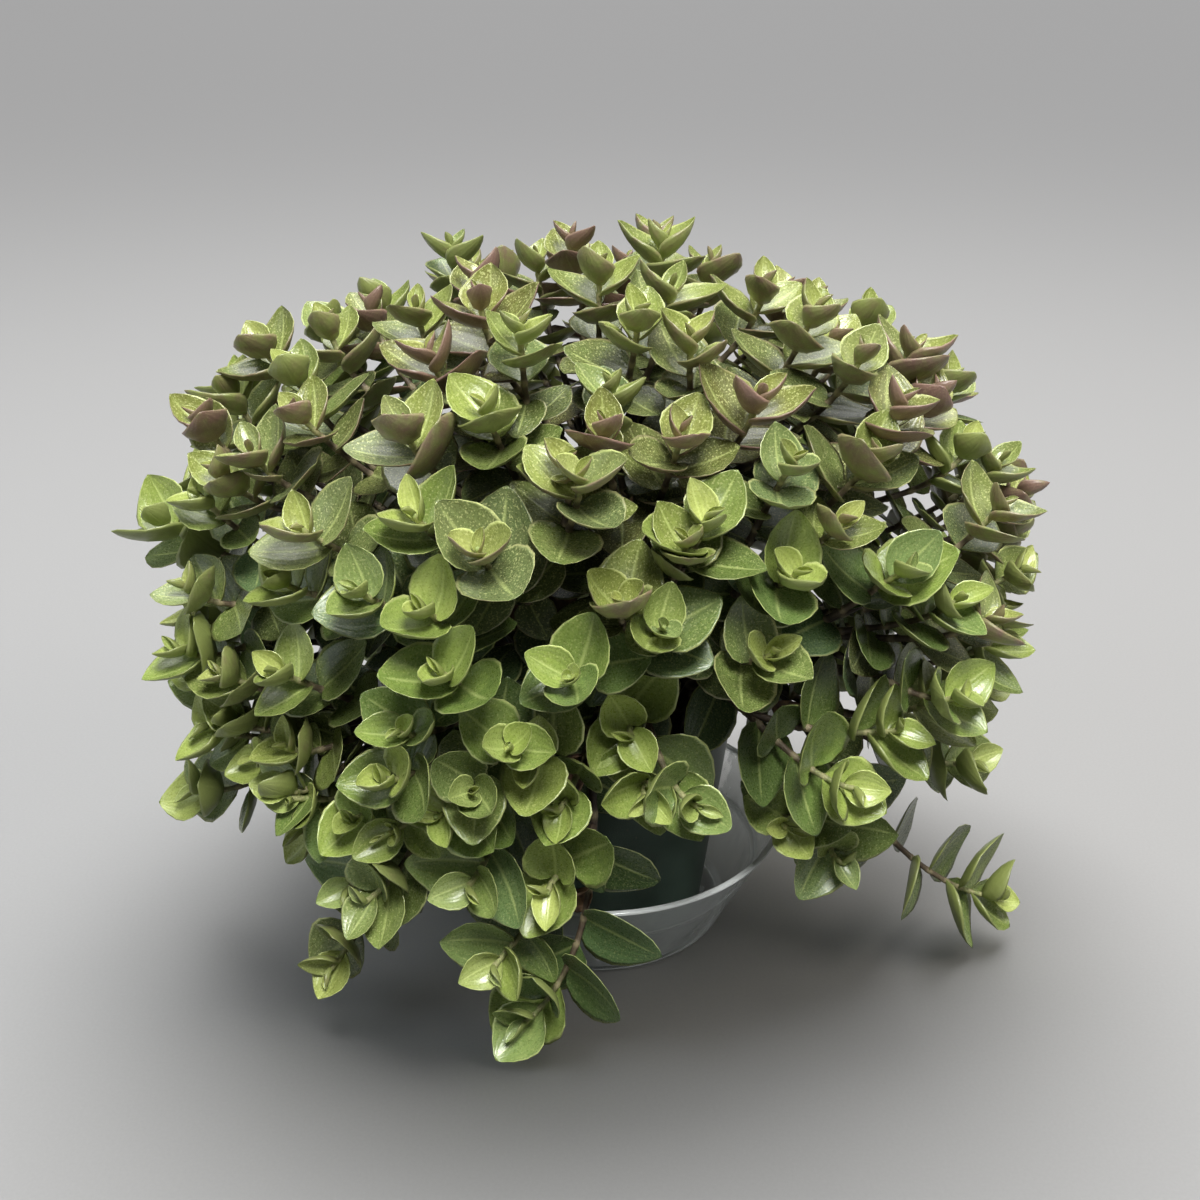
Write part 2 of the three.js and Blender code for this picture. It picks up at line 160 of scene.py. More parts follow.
@dataclass
class Path:
    """A cubic curve: its point is (1-t)^3 a + 3t(1-t)^2 b + 3t^2(1-t) c + t^3 d."""

    controls: Array
    divisions: int = 32

    def point(self, t: Array) -> Array:
        """Points at the parameters t."""
        t = np.asarray(t, float)[..., None]
        a, b, c, d = self.controls
        return (1 - t) ** 3 * a + 3 * t * (1 - t) ** 2 * b + 3 * t * t * (1 - t) * c + t**3 * d

    def heading(self, t: float) -> Array:
        """Unit direction at the parameter t, from the curve's derivative."""
        a, b, c, d = self.controls
        return unit(3 * (1 - t) ** 2 * (b - a) + 6 * t * (1 - t) * (c - b) + 3 * t * t * (d - c))

    def measure(self) -> tuple[Array, Array]:
        """Parameters of the divisions, and the length up to each."""
        t = np.linspace(0, 1, self.divisions + 1)
        runs = np.linalg.norm(np.diff(self.point(t), axis=0), axis=1)
        return t, np.concatenate([[0.0], np.cumsum(runs)])

    def length(self) -> float:
        """Length of the curve."""
        return float(self.measure()[1][-1])

    def parameter(self, distance: Array) -> Array:
        """Parameters of points a distance along the curve."""
        t, lengths = self.measure()
        return np.interp(distance, lengths, t)

    def line(self, spacing: float) -> Array:
        """Points along the curve, about as far apart as spacing."""
        return self.point(np.linspace(0, 1, max(6, int(self.length() / spacing))))


@dataclass
class Shoot:
    """A shoot: where it ends and points, and the path that brings it there."""

    azimuth: float
    polar: float
    tip: Array
    axis: Array
    seed: int
    trail: bool
    fit: float = 0.0
    main: bool = False
    path: Path | None = None

    def direction(self) -> Array:
        """Unit direction of the shoot from the middle of the mound."""
        return outward(self.azimuth) * math.sin(self.polar) + UP * math.cos(self.polar)


@dataclass(frozen=True)
class Mound:
    """The rounded mass of shoots: a dome whose plan and lower edge change with the azimuth."""

    centre: float = 135.0
    height: float = 102.0
    power: float = 2.5
    back: float = 8.0
    shoots: int = 160
    stems: int = 35
    shoot_spread: float = 1.45
    stem_spread: float = 1.36
    plan: float = 118.0
    plan_back: float = 8.0
    plan_sides: float = 24.0
    plan_bells: tuple = ((-12, 30, 26),)
    edge_height: float = 100.0
    edge_bells: tuple = ((-16, -42, 34), (34, 26, 26), (8, 150, 40))
    shoulder_bells: tuple = ((0.1, 100, 35), (0.05, -100, 30))
    polar_jitter: float = 3.0
    azimuth_jitter: float = 0.22
    size_jitter: float = 0.05
    lean_share: float = 0.46
    most_lean: float = 46.0
    lean_jitter: float = 9.0
    aside_jitter: float = 16.0

    def reach(self, azimuth: float) -> float:
        """Plan radius: wider at the sides, narrower over the part of the pot that shows."""
        oval = self.plan - self.plan_back * math.cos(azimuth) + self.plan_sides * math.sin(azimuth) ** 2
        return oval + bells(azimuth, self.plan_bells)

    def edge(self, azimuth: float) -> float:
        """Height of the lower edge: low at the left front, high at the right front."""
        return self.edge_height + bells(azimuth, self.edge_bells)

    def shoulder(self, azimuth: float, polar: float) -> float:
        """Size of the dome at a place: less over its right and left shoulders, halfway down."""
        return 1 - bells(azimuth, self.shoulder_bells) * math.sin(2 * polar) ** 2

    def tip(self, azimuth: float, polar: float, grow: float) -> Array:
        """A point of the dome: radius and height go as sine and cosine of polar to the power 2 / power."""
        flat = 2 / self.power
        c, s = math.cos(polar), abs(math.sin(polar))
        level = outward(azimuth) * self.reach(azimuth) * s**flat
        lift = np.array([0.0, self.back, self.height * math.copysign(abs(c) ** flat, c)])
        return (level + lift) * grow + UP * self.centre

    def shoots_on_spiral(self) -> list[Shoot]:
        """Shoots at golden-angle turns, evenly spread from the top down, those under the edge left out."""
        shoots = []
        for i in range(self.shoots):
            share = (i + 0.5) / self.shoots
            jitter = math.radians(self.polar_jitter) * spread(i, 2)
            polar = abs(math.acos(1 - share * self.shoot_spread) + jitter)
            azimuth = i * GOLDEN_ANGLE + self.azimuth_jitter * spread(i, 1)
            grow = (1 + self.size_jitter * spread(i, 3)) * self.shoulder(azimuth, polar)
            tip = self.tip(azimuth, polar, grow)
            if tip[2] < self.edge(azimuth):
                continue
            lean = min(math.radians(self.most_lean), self.lean_share * polar)
            lean += math.radians(self.lean_jitter) * (spread(i, 4) + math.cos(azimuth) * math.sin(polar))
            aside = azimuth + math.radians(self.aside_jitter) * spread(i, 5)
            axis = outward(aside) * math.sin(lean) + UP * math.cos(lean)
            shoots.append(Shoot(azimuth, polar, tip, axis, i, False))
        return shoots

    def stems_of_shoots(self) -> list[list[Shoot]]:
        """The shoots shared out by the nearest centre of a coarser spiral, the best fitting one first."""
        centres = []
        for g in range(self.stems):
            polar = math.acos(1 - (g + 0.5) / self.stems * self.stem_spread)
            centres.append(outward(g * GOLDEN_ANGLE) * math.sin(polar) + UP * math.cos(polar))
        stems: list[list[Shoot]] = [[] for _ in centres]
        for shoot in self.shoots_on_spiral():
            fits = np.array(centres) @ shoot.direction()
            shoot.fit = float(fits.max())
            stems[int(fits.argmax())].append(shoot)
        return [sorted(stem, key=lambda shoot: -shoot.fit) for stem in stems if stem]


@dataclass(frozen=True)
class Trails:
    """Stems that hang or lean out of the mound.

    Each row is one stem: its own tip, then the tips of its branches. A tip is azimuth from the front,
    distance out, height, rise of its end and turn of its end.
    """

    rows: tuple = (
        ((-66, 122, 88, 25, 0), (-60, 112, 64, 10, 0)),
        ((-79, 142, 62, 15, 0), (-72, 134, 96, 40, 0)),
        ((-88, 140, 120, 45, 0), (-80, 136, 104, 30, 0)),
        ((-97, 138, 160, 55, 0),),
        ((-106, 130, 190, 70, 0),),
        ((-50, 114, 22, -18, 15), (-46, 110, 56, -10, 0), (-55, 118, 84, 15, 0)),
        ((-36, 108, 84, 15, 0), (-40, 112, 58, 0, 0)),
        ((-24, 98, 66, 5, 0), (-28, 102, 92, 20, 0)),
        ((-15, 92, 13, -25, -45), (-20, 96, 36, -10, -10), (-10, 88, 62, -10, 0)),
        ((-8, 86, 90, 0, -15), (-12, 94, 112, 25, 0)),
        ((8, 76, 110, 10, 0),),
        ((21, 88, 90, 5, 30), (10, 82, 92, 0, -10)),
        ((50, 106, 88, 10, 10), (58, 112, 104, 25, 0)),
        ((79, 146, 18, -8, 15), (57, 98, 50, -5, 10), (46, 87, 68, 0, 10)),
        ((76, 132, 76, 20, 0), (66, 120, 110, 40, 0)),
        ((92, 140, 88, 30, 0), (86, 138, 112, 40, 0)),
        ((97, 136, 164, 50, 0),),
        ((88, 144, 136, 40, 0),),
        ((122, 126, 74, 20, 0), (112, 132, 100, 30, 0)),
        ((158, 118, 42, -20, 10), (150, 122, 76, 10, 0)),
        ((-165, 120, 84, 10, 0), (-176, 124, 64, 0, 0)),
        ((-136, 126, 56, 5, -10), (-126, 130, 90, 25, 0)),
    )
    first_seed: int = 500
    polar_drop: float = 115.0

    def stems(self) -> list[list[Shoot]]:
        """One list of shoots a row."""
        seed = self.first_seed
        stems = []
        for row in self.rows:
            stem = []
            for azimuth_degrees, distance, height, rise_degrees, turn_degrees in row:
                azimuth, rise = math.radians(azimuth_degrees), math.radians(rise_degrees)
                tip = outward(azimuth) * distance + UP * height
                axis = outward(azimuth + math.radians(turn_degrees)) * math.cos(rise) + UP * math.sin(rise)
                polar = math.atan2(distance, height - self.polar_drop)
                stem.append(Shoot(azimuth, polar, tip, axis, seed, True))
                seed += 1
            stems.append(stem)
        return stems


@dataclass
class Router:
    """Paths that leave the soil upright and stay clear of each other."""

    soil_top: float = 80.0
    collar: float = 3.0
    clear: float = 4.6
    sample: float = 4.0
    ring: float = 41.0
    ring_power: float = 0.85
    full_ring_polar: float = 125.0
    farthest: float = 44.0
    level: float = 122.0
    drop_from: float = 120.0
    above: float = 0.25
    below: float = 0.38
    over: float = 10.0
    over_from: float = 90.0
    over_span: float = 45.0
    arrive: float = 0.36
    branch_reach: float = 0.34
    branch_ahead: float = 0.7
    ring_tries: tuple = (0, -5, 5, -9)
    turn_tries: tuple = (0, 8, -8, 16, -16)
    bend_tries: tuple = (0, 7, -7)
    fork_tries: tuple = (0.5, 0.4, 0.6, 0.3, 0.7, 0.8)
    branch_bend_tries: tuple = (0, 5, -5, 10, -10)
    lines: list[tuple[int, Array]] = field(default_factory=list)

    def main_path(self, shoot: Shoot, ring: float, turn: float, bend: float) -> Path:
        """From the soil straight up, then over and out to the tip along the shoot's axis."""
        share = min(1.0, shoot.polar / math.radians(self.full_ring_polar)) ** self.ring_power
        radius = min(self.farthest, max(0.0, self.ring * share + ring))
        root = outward(shoot.azimuth + turn) * radius + UP * (self.soil_top + self.collar)
        drop = shoot.tip[2] - self.drop_from
        high = self.level + (self.above * drop if drop > 0 else -self.below * drop)
        over = self.over * max(0.0, math.degrees(shoot.polar) - self.over_from) / self.over_span
        rise = np.array([root[0], root[1], high]) + outward(shoot.azimuth) * over
        rise = rise + around(shoot.azimuth) * bend
        arrive = shoot.tip - shoot.axis * self.arrive * np.linalg.norm(shoot.tip - rise)
        return Path(np.array([root, rise, arrive, shoot.tip]))

    def branch_path(self, main: Path, at: float, shoot: Shoot, bend: float) -> Path:
        """From a share of the main path's length out to the tip."""
        t = float(main.parameter(at * main.length()))
        start = main.point(t)
        span = np.linalg.norm(shoot.tip - start)
        way = unit(shoot.tip - start)
        side = unit(np.cross(way, UP)) * bend
        leave = unit(main.heading(t) * self.branch_ahead + way)
        first = start + leave * self.branch_reach * span + side
        second = shoot.tip - shoot.axis * self.branch_reach * span + side
        return Path(np.array([start, first, second, shoot.tip]))

    def settle(self, paths: list, number: int, own: bool) -> Path:
        """The first path that stays clear of the stems already placed, or else the clearest.

        Args:
            paths: functions that give the paths to try, in order.
            number: the stem that the path belongs to.
            own: whether the stem's own lines are kept clear of too.
        Returns:
            The path chosen, whose line is then kept.
        """
        best = (-1.0, None, None)
        for make in paths:
            path = make()
            line = path.line(self.sample)
            gap = 99.0
            for other_number, other in self.lines:
                if own or other_number != number:
                    apart = line[:, None, :] - other[None, :, :]
                    gap = min(gap, math.sqrt((apart * apart).sum(-1).min()))
            if gap > best[0] + 1e-6:
                best = (gap, path, line)
            if gap >= self.clear:
                break
        self.lines.append((number, best[2]))
        return best[1]

    def route(self, stems: list[list[Shoot]]) -> None:
        """Gives each shoot its path, all the main ones first."""
        for number, stem in enumerate(stems):
            lead = stem[0]
            lead.main = True
            lead.path = self.settle([
                lambda ring=ring, turn=turn, bend=bend: self.main_path(lead, ring, math.radians(turn), bend)
                for ring in self.ring_tries for turn in self.turn_tries for bend in self.bend_tries
            ], number, True)
        for number, stem in enumerate(stems):
            main = stem[0].path
            for shoot in stem[1:]:
                shoot.path = self.settle([
                    lambda at=at, bend=bend: self.branch_path(main, at, shoot, bend)
                    for at in self.fork_tries for bend in self.branch_bend_tries
                ], number, False)


@dataclass
class Leaves:
    """Leaves as arrays, one row a leaf: where it grows, how it is turned and how it is shaped."""

    foot: Array
    rib: Array
    face: Array
    length: Array
    width: Array
    fold: Array
    curl: Array
    wave: Array
    age: Array
    tint: Array
    bronze_and_shade: Array
    dry: Array

    def pick(self, chosen: Array) -> "Leaves":
        """The leaves that an index or a mask chooses."""
        return Leaves(**{name: values[chosen] for name, values in vars(self).items()})

    def fitted(self, fit: "Fit") -> "Leaves":
        """The same leaves turned about their faces, tipped about their widths, and smaller."""
        copy = self.pick(slice(None))
        across = np.cross(self.face, self.rib)
        rib = self.rib * math.cos(fit.turn) + across * math.sin(fit.turn)
        copy.rib = rib * math.cos(fit.tip) + self.face * math.sin(fit.tip)
        copy.face = self.face * math.cos(fit.tip) - rib * math.sin(fit.tip)
        copy.length = self.length * fit.shrink
        return copy

    @staticmethod
    def joined(groups: list["Leaves"]) -> "Leaves":
        """Several sets of leaves as one."""
        return Leaves(**{name: np.concatenate([vars(g)[name] for g in groups]) for name in vars(groups[0])})


@dataclass(frozen=True)
class LeafHabit:
    """How leaves stand along a shoot, from the tip back, and how big and how rolled each is."""

    length: float = 24.5
    sizes: tuple = (0.34, 0.58, 0.8, 0.93, 1.0, 1.02, 1.0, 0.97, 0.94, 0.9, 0.88, 0.86, 0.84, 0.82, 0.8)
    angles: tuple = (12, 38, 52, 62, 70, 76, 80, 83, 84, 84, 84, 84, 84, 84, 84)
    gaps: tuple = (1.6, 2, 2.6, 3.2, 4, 5, 6, 7, 8, 9, 9.5, 10, 10, 11, 11)
    folds: tuple = (140, 84, 66, 54, 44, 37, 31, 27, 24, 22, 20, 20, 20, 20, 20)
    curls: tuple = (10, 40, 46, 42, 36, 28, 18, 8, -4, -12, -12, -12, -12, -12, -12)
    withered: tuple = ((515, 8), (515, 10), (517, 5), (518, 5))
    crown_count: int = 15
    trail_count: int = 15
    light: float = 0.5
    trail_light: tuple = (0.45, 0.6)
    window_light: float = 0.4
    window_from: float = -0.3
    trail_gap: float = 1.2
    gap_jitter: float = 0.15
    bare_main: float = 0.25
    bare_branch: float = 0.12
    crown_turn: float = 152.0
    trail_turn: float = 168.0
    turn_jitter: float = 9.0
    spin_jitter: float = 12.0
    angle_jitter: float = 10.0
    size_jitter: float = 0.13
    crown_shrink: float = 0.1
    mound_size: float = 0.94
    bronze_and_shade_heights: tuple = (120, 215)
    bronze_rights: tuple = (60, 150)
    dry_share: float = 0.3
    dry_fold: float = 95.0
    dry_curl: float = -60.0
    dry_size: float = 0.9

    def along(self, shoot: Shoot) -> tuple[Leaves, Array]:
        """Leaves of one shoot.

        Args:
            shoot: a shoot with its path.
        Returns:
            The leaves, and how far each stands back from the tip.
        """
        path, n = shoot.path, shoot.seed
        total = path.length()
        k = np.arange(self.trail_count if shoot.trail else self.crown_count)
        wider = self.trail_gap if shoot.trail else 1.0
        steps = np.array(self.gaps)[k] * wider * (1 + self.gap_jitter * spread(n, 20 + k))
        back = np.cumsum(steps)
        kept = total - back >= (self.bare_main if shoot.main else self.bare_branch) * total
        k, back = k[kept], back[kept]
        at = total - back
        foot = path.point(path.parameter(at))
        axis = unit(path.point(path.parameter(at + 1.5)) - path.point(path.parameter(at - 1.5)))
        level = around(shoot.azimuth)
        across = unit(level - axis * (axis @ level)[:, None])
        beyond = np.cross(axis, across)
        turn = self.trail_turn if shoot.trail else self.crown_turn
        turn = math.radians(turn + self.turn_jitter * spread(n, 9))
        spin = 2 * math.pi * draw(n, 8) + k * turn + math.radians(self.spin_jitter) * spread(n, 40 + k)
        out = across * np.cos(spin)[:, None] + beyond * np.sin(spin)[:, None]
        angle = np.radians(np.array(self.angles)[k] + self.angle_jitter * spread(n, 60 + k))[:, None]
        rib = axis * np.cos(angle) + out * np.sin(angle)
        light = UP * self.light
        if shoot.trail:
            light = outward(shoot.azimuth) * self.trail_light[0] + UP * self.trail_light[1]
            light = light + outward(0) * self.window_light * (math.cos(shoot.azimuth) > self.window_from)
        face = unit(axis * np.sin(angle) - out * np.cos(angle) + light)
        rib = unit(rib - face * (rib * face).sum(1, keepdims=True))
        crown = max(0.0, math.cos(shoot.polar))
        size = self.length * (1 + self.size_jitter * spread(n, 7)) * (1 - self.crown_shrink * crown)
        size *= 1 if shoot.trail else self.mound_size
        # Leaves high on the crown get more bronze: partly their own bronze tint, partly painted shade that
        # darkens the crown.
        high = smooth_step(*self.bronze_and_shade_heights, foot[:, 2])
        right = smooth_step(*self.bronze_rights, foot[:, 0])
        bronze_and_shade = np.clip(0.14 + 0.6 * high + 0.2 * right + 0.35 * spread(n, 11), 0, 1)
        leaves = Leaves(
            foot=foot, rib=rib, face=face,
            length=size * np.array(self.sizes)[k] * (1 + 0.08 * spread(n, 80 + k)),
            width=0.5 * (1 + 0.07 * spread(n, 100 + k)) * np.where(k == 0, 0.9, 1),
            fold=np.radians(np.array(self.folds)[k] * (1 + 0.3 * spread(n, 120 + k)) * (1 + 0.15 * crown)),
            curl=np.radians(np.array(self.curls)[k] + 6 * crown + 12 * spread(n, 140 + k)),
            wave=draw(n, 160 + k),
            age=np.clip(k / 9 + 0.12 * spread(n, 180 + k), 0, 1),
            tint=np.clip(0.5 + 0.3 * spread(n, 12) + 0.25 * spread(n, 200 + k), 0, 1),
            bronze_and_shade=bronze_and_shade * np.ones(len(k)),
            dry=np.zeros(len(k)),
        )
        self.wither(leaves, shoot, k)
        return leaves, back

    def wither(self, leaves: Leaves, shoot: Shoot, k: Array) -> None:
        """Dries some of the oldest leaves: narrower, rolled and bent down."""
        oldest = (k >= (11 if shoot.trail else 12)) & (draw(shoot.seed, 300 + k) < self.dry_share)
        named = np.array([(shoot.seed, int(i)) in self.withered for i in k], bool)
        dry = oldest | named
        leaves.dry[dry] = 1
        leaves.fold[dry] = np.radians(self.dry_fold)
        leaves.curl[dry] = np.radians(self.dry_curl)
        leaves.length[dry] *= self.dry_size


@dataclass(frozen=True)
class LeafForm:
    """The blade of one leaf, as a grid of rows along the midrib and columns across it."""

    rows: int = 8
    across: tuple = (-1.0, -0.86, -0.45, 0.0, 0.45, 0.86, 1.0)
    start: float = -0.03
    thick: float = 0.85
    foot_power: float = 0.4
    tip_power: float = 0.8
    foot_roll: float = 1.35
    roll_fall: float = 0.8
    ripple: float = 0.022
    ripples: float = 1.4
    full_length: float = 16.0

    def grid(self) -> tuple[Array, Array]:
        """Parameters u along and v across: rows closer together at the foot and the tip."""
        share = np.arange(self.rows + 1) / self.rows
        u = 0.5 - 0.5 * np.cos(math.pi * share)
        v = np.array(self.across)
        return np.meshgrid(u, v, indexing="ij")

    def surfaces(self, leaves: Leaves) -> tuple[Array, Array]:
        """Upper and lower surfaces of the leaves.

        The half width w goes as u to the foot power times (1 - u^1.25) to the tip power, an egg shape with
        a broad foot and a point. The blade is rolled across by an angle b, the fold angle made larger at the
        foot and smaller at the tip. A point v of the way to its edge lies at w sin(b v) / b across and
        w (1 - cos(b v)) / b up. It is bent along by the curl angle in the same way, and its edges wave a
        little. The two surfaces lie half a thickness each side, which falls to nothing at the edge.

        Args:
            leaves: the leaves, n of them.
        Returns:
            Two arrays of n by rows + 1 by columns + 1 points.
        """
        u, v = (part[None] for part in self.grid())
        cell = (slice(None), None, None)
        length, fold, curl = leaves.length[cell], leaves.fold[cell], leaves.curl[cell]
        curl = np.where(np.abs(curl) < 1e-3, 1e-3, curl)
        outline = u**self.foot_power * (1 - u**1.25) ** self.tip_power
        half = leaves.width[cell] * length * outline / outline.max()
        bend = fold * (self.foot_roll - self.roll_fall * u)
        roll = bend * v
        across = half * np.sin(roll) / bend
        lift = half * (1 - np.cos(roll)) / bend
        wave = np.sin(2 * math.pi * (self.ripples * u + leaves.wave[cell]))
        lift = lift + self.ripple * length * wave * v**2 * u
        run = self.start + (1 - self.start) * u
        forward = length * np.sin(curl * run) / curl - lift * np.sin(curl * run)
        rise = length * (1 - np.cos(curl * run)) / curl + lift * np.cos(curl * run)
        rib = leaves.rib[:, None, None, :]
        face = leaves.face[:, None, None, :]
        side = np.cross(leaves.face, leaves.rib)[:, None, None, :]
        middle = leaves.foot[:, None, None, :] + forward[..., None] * rib + across[..., None] * side
        middle = middle + rise[..., None] * face
        lean = np.cos(roll)
        normal = -(np.sin(curl * run) * lean)[..., None] * rib - np.sin(roll)[..., None] * side
        normal = normal + (np.cos(curl * run) * lean)[..., None] * face
        body = np.sqrt(np.clip(1 - v**2, 0, 1)) * np.clip(1 - u**6, 0, 1) * np.minimum(1, 0.25 + 5 * u)
        half_thick = (0.5 * self.thick * body * np.minimum(1, length / self.full_length))[..., None] * normal
        return middle + half_thick, middle - half_thick

    def closed(self, leaves: Leaves) -> tuple[Array, list[Array], Array, Array]:
        """Closed blades: both surfaces share their edge, and each end is one point.

        Args:
            leaves: the leaves, n of them.
        Returns:
            Points, faces of one leaf, per-corner u and v, and a 0 or 1 for each face on the underside.
        """
        upper, lower = self.surfaces(leaves)
        n, rows, cols = len(leaves.length), self.rows - 1, len(self.across)
        inner = lower[:, 1:-1, 1:-1].reshape(n, -1, 3)
        top = upper[:, 1:-1].reshape(n, -1, 3)
        ends = 0.5 * (upper[:, [0, -1], cols // 2] + lower[:, [0, -1], cols // 2])
        points = np.concatenate([ends, top, inner], 1)
        above = 2 + np.arange(rows * cols).reshape(rows, cols)
        below = above.copy()
        below[:, 1:-1] = 2 + rows * cols + np.arange(rows * (cols - 2)).reshape(rows, cols - 2)
        quads, fans, under_quads, under_fans = [], [], [], []
        for grid, flip in ((above, False), (below, True)):
            quad = grid_quads(grid)
            foot = np.stack([np.zeros(cols - 1, int), grid[0, :-1], grid[0, 1:]], -1)
            tip = np.stack([np.ones(cols - 1, int), grid[-1, 1:], grid[-1, :-1]], -1)
            fan = np.concatenate([foot, tip])
            quads.append(quad[:, ::-1] if flip else quad)
            fans.append(fan[:, ::-1] if flip else fan)
            under_quads.append(np.full(len(quad), float(flip)))
            under_fans.append(np.full(len(fan), float(flip)))
        u, v = self.grid()
        flat_u = np.concatenate([[0, 1], u[1:-1].ravel(), u[1:-1, 1:-1].ravel()])
        flat_v = np.concatenate([[0, 0], v[1:-1].ravel(), v[1:-1, 1:-1].ravel()])
        faces = [np.concatenate(quads), np.concatenate(fans)]
        uv = np.stack([flat_u, 0.5 + 0.5 * flat_v], -1)
        return points, faces, uv, np.concatenate(under_quads + under_fans)


@dataclass
class Surface:
    """Points and faces gathered for one mesh, with values for its faces and points."""

    points: list[Array] = field(default_factory=list)
    faces: list[Array] = field(default_factory=list)
    uv: list[Array] = field(default_factory=list)
    face_values: dict[str, list[Array]] = field(default_factory=dict)
    point_values: dict[str, list[Array]] = field(default_factory=dict)
    count: int = 0

    def add(self, points: Array, faces: list[Array], uv: Array | None = None,
            face_values: dict[str, Array] | None = None,
            point_values: dict[str, Array] | None = None) -> None:
        """Adds points in millimetres, and faces that count from the first of them.

        Args:
            points: the points, one row each.
            faces: arrays of faces, each with a fixed number of corners.
            uv: a flat place for each point.
            face_values: named values, one for each face in the order of faces.
            point_values: named values, one for each point.
        """
        self.points.append(points)
        self.faces.extend(part + self.count for part in faces)
        self.count += len(points)
        if uv is not None:
            self.uv.append(uv)
        for store, values in ((self.face_values, face_values), (self.point_values, point_values)):
            for name, value in (values or {}).items():
                store.setdefault(name, []).append(value)

    def piece(self, name: str, material: bpy.types.Material) -> bpy.types.Object:
        """A smooth mesh object at the origin, in metres.

        Args:
            name: the object's name.
            material: its finish.
        Returns:
            The object, linked to the scene.
        """
        mesh = bpy.data.meshes.new(name)
        points = np.concatenate(self.points) * MM
        mesh.vertices.add(len(points))
        mesh.vertices.foreach_set("co", points.astype(np.float32).ravel())
        corners = np.concatenate([part.ravel() for part in self.faces]).astype(np.int32)
        mesh.loops.add(len(corners))
        mesh.loops.foreach_set("vertex_index", corners)
        sizes = np.concatenate([np.full(len(part), part.shape[1]) for part in self.faces])
        starts = np.concatenate([[0], np.cumsum(sizes)[:-1]])
        mesh.polygons.add(len(starts))
        mesh.polygons.foreach_set("loop_start", starts.astype(np.int32))
        mesh.update(calc_edges=True)
        mesh.polygons.foreach_set("use_smooth", np.ones(len(starts), bool))
        if self.uv:
            layer = mesh.uv_layers.new(name="blade")
            layer.uv.foreach_set("vector", np.concatenate(self.uv)[corners].astype(np.float32).ravel())
        for domain, store in (("POINT", self.point_values), ("FACE", self.face_values)):
            for key, values in store.items():
                attribute = mesh.attributes.new(key, "FLOAT", domain)
                attribute.data.foreach_set("value", np.concatenate(values).astype(np.float32))
        mesh.materials.append(material)
        log.info("%s: %d faces", name, len(starts))
        return linked(name, mesh)


def rounded(profile: Array, radius: float, steps: int = 4) -> Array:
    """A profile with its inner corners rounded.

    Each corner V becomes the quadratic curve (1-t)^2 A + 2t(1-t) V + t^2 B between points A and B that lie
    the radius, or MOST_ROUNDED of an edge if that is less, from V along its two edges.

    Args:
        profile: corners in order, as radius and height.
        radius: how far from a corner its curve starts.
        steps: points on each curve.
    Returns:
        The profile with its curves.
    """
    before, corner, after = profile[:-2, None], profile[1:-1, None], profile[2:, None]
    reach_before = np.linalg.norm(before - corner, axis=-1, keepdims=True)
    reach_after = np.linalg.norm(after - corner, axis=-1, keepdims=True)
    start = corner + (before - corner) * np.minimum(MOST_ROUNDED, radius / reach_before)
    end = corner + (after - corner) * np.minimum(MOST_ROUNDED, radius / reach_after)
    t = np.linspace(0, 1, steps)[None, :, None]
    curves = (1 - t) ** 2 * start + 2 * t * (1 - t) * corner + t * t * end
    return np.concatenate([profile[:1], curves.reshape(-1, 2), profile[-1:]])


def filled(profile: Array, spacing: float) -> Array:
    """A profile with points added so that no two neighbours are further apart than spacing."""
    runs = np.linalg.norm(np.diff(profile, axis=0), axis=1)
    counts = np.maximum(1, np.ceil(runs / spacing).astype(int))
    inner = [a + (b - a) * np.arange(n)[:, None] / n for a, b, n in zip(profile[:-1], profile[1:], counts)]
    return np.concatenate(inner + [profile[-1:]])


def lathe(profile: Array, steps: int) -> tuple[Array, list[Array]]:
    """A closed surface of revolution: (r cos a, r sin a, z) for each profile point and each angle a.

    Args:
        profile: radius and height, from the middle of the underside outwards and back to the middle. Its
            first and last points lie on the axis.
        steps: angles round the axis.
    Returns:
        Points, the two poles first, and faces that point outwards.
    """
    angle = 2 * np.pi * np.arange(steps) / steps
    radius, height = profile[1:-1, :1], profile[1:-1, 1:]
    grid = np.stack(np.broadcast_arrays(radius * np.cos(angle), radius * np.sin(angle), height), -1)
    poles = np.array([[0, 0, profile[0, 1]], [0, 0, profile[-1, 1]]])
    return np.concatenate([poles, grid.reshape(-1, 3)]), ring_faces(grid.shape[0], steps)


@dataclass
class Wire:
    """A socket in a finish, with the operators that its sums use."""

    net: "Net"
    socket: bpy.types.NodeSocket

    def __add__(self, other: "Wire | float") -> "Wire":
        """Sum."""
        return self.net.math("ADD", self, other)

    def __radd__(self, other: float) -> "Wire":
        """Sum, from a number on the left."""
        return self.net.math("ADD", other, self)

    def __sub__(self, other: "Wire | float") -> "Wire":
        """Difference."""
        return self.net.math("SUBTRACT", self, other)

    def __mul__(self, other: "Wire | float") -> "Wire":
        """Product."""
        return self.net.math("MULTIPLY", self, other)

    def __abs__(self) -> "Wire":
        """Size without sign."""
        return self.net.math("ABSOLUTE", self)

    def sine(self) -> "Wire":
        """Sine."""
        return self.net.math("SINE", self)

    def between(self, low: float, high: float) -> "Wire":
        """0 below low, 1 above high and smooth between; the other way round if low is above high."""
        start, end = (0.0, 1.0) if low < high else (1.0, 0.0)
        values = {0: self, 1: min(low, high), 2: max(low, high), 3: start, 4: end}
        return self.net.wire("ShaderNodeMapRange", {"interpolation_type": "SMOOTHSTEP"}, values)


Value = Wire | float
Colour = Wire | tuple[float, float, float]


def paint(red: int, green: int, blue: int) -> tuple[float, float, float]:
    """A colour as it looks on a screen, 0 to 255 each, as linear light."""
    shares = [c / 255 for c in (red, green, blue)]
    return tuple(s / 12.92 if s <= 0.04045 else ((s + 0.055) / 1.055) ** 2.4 for s in shares)


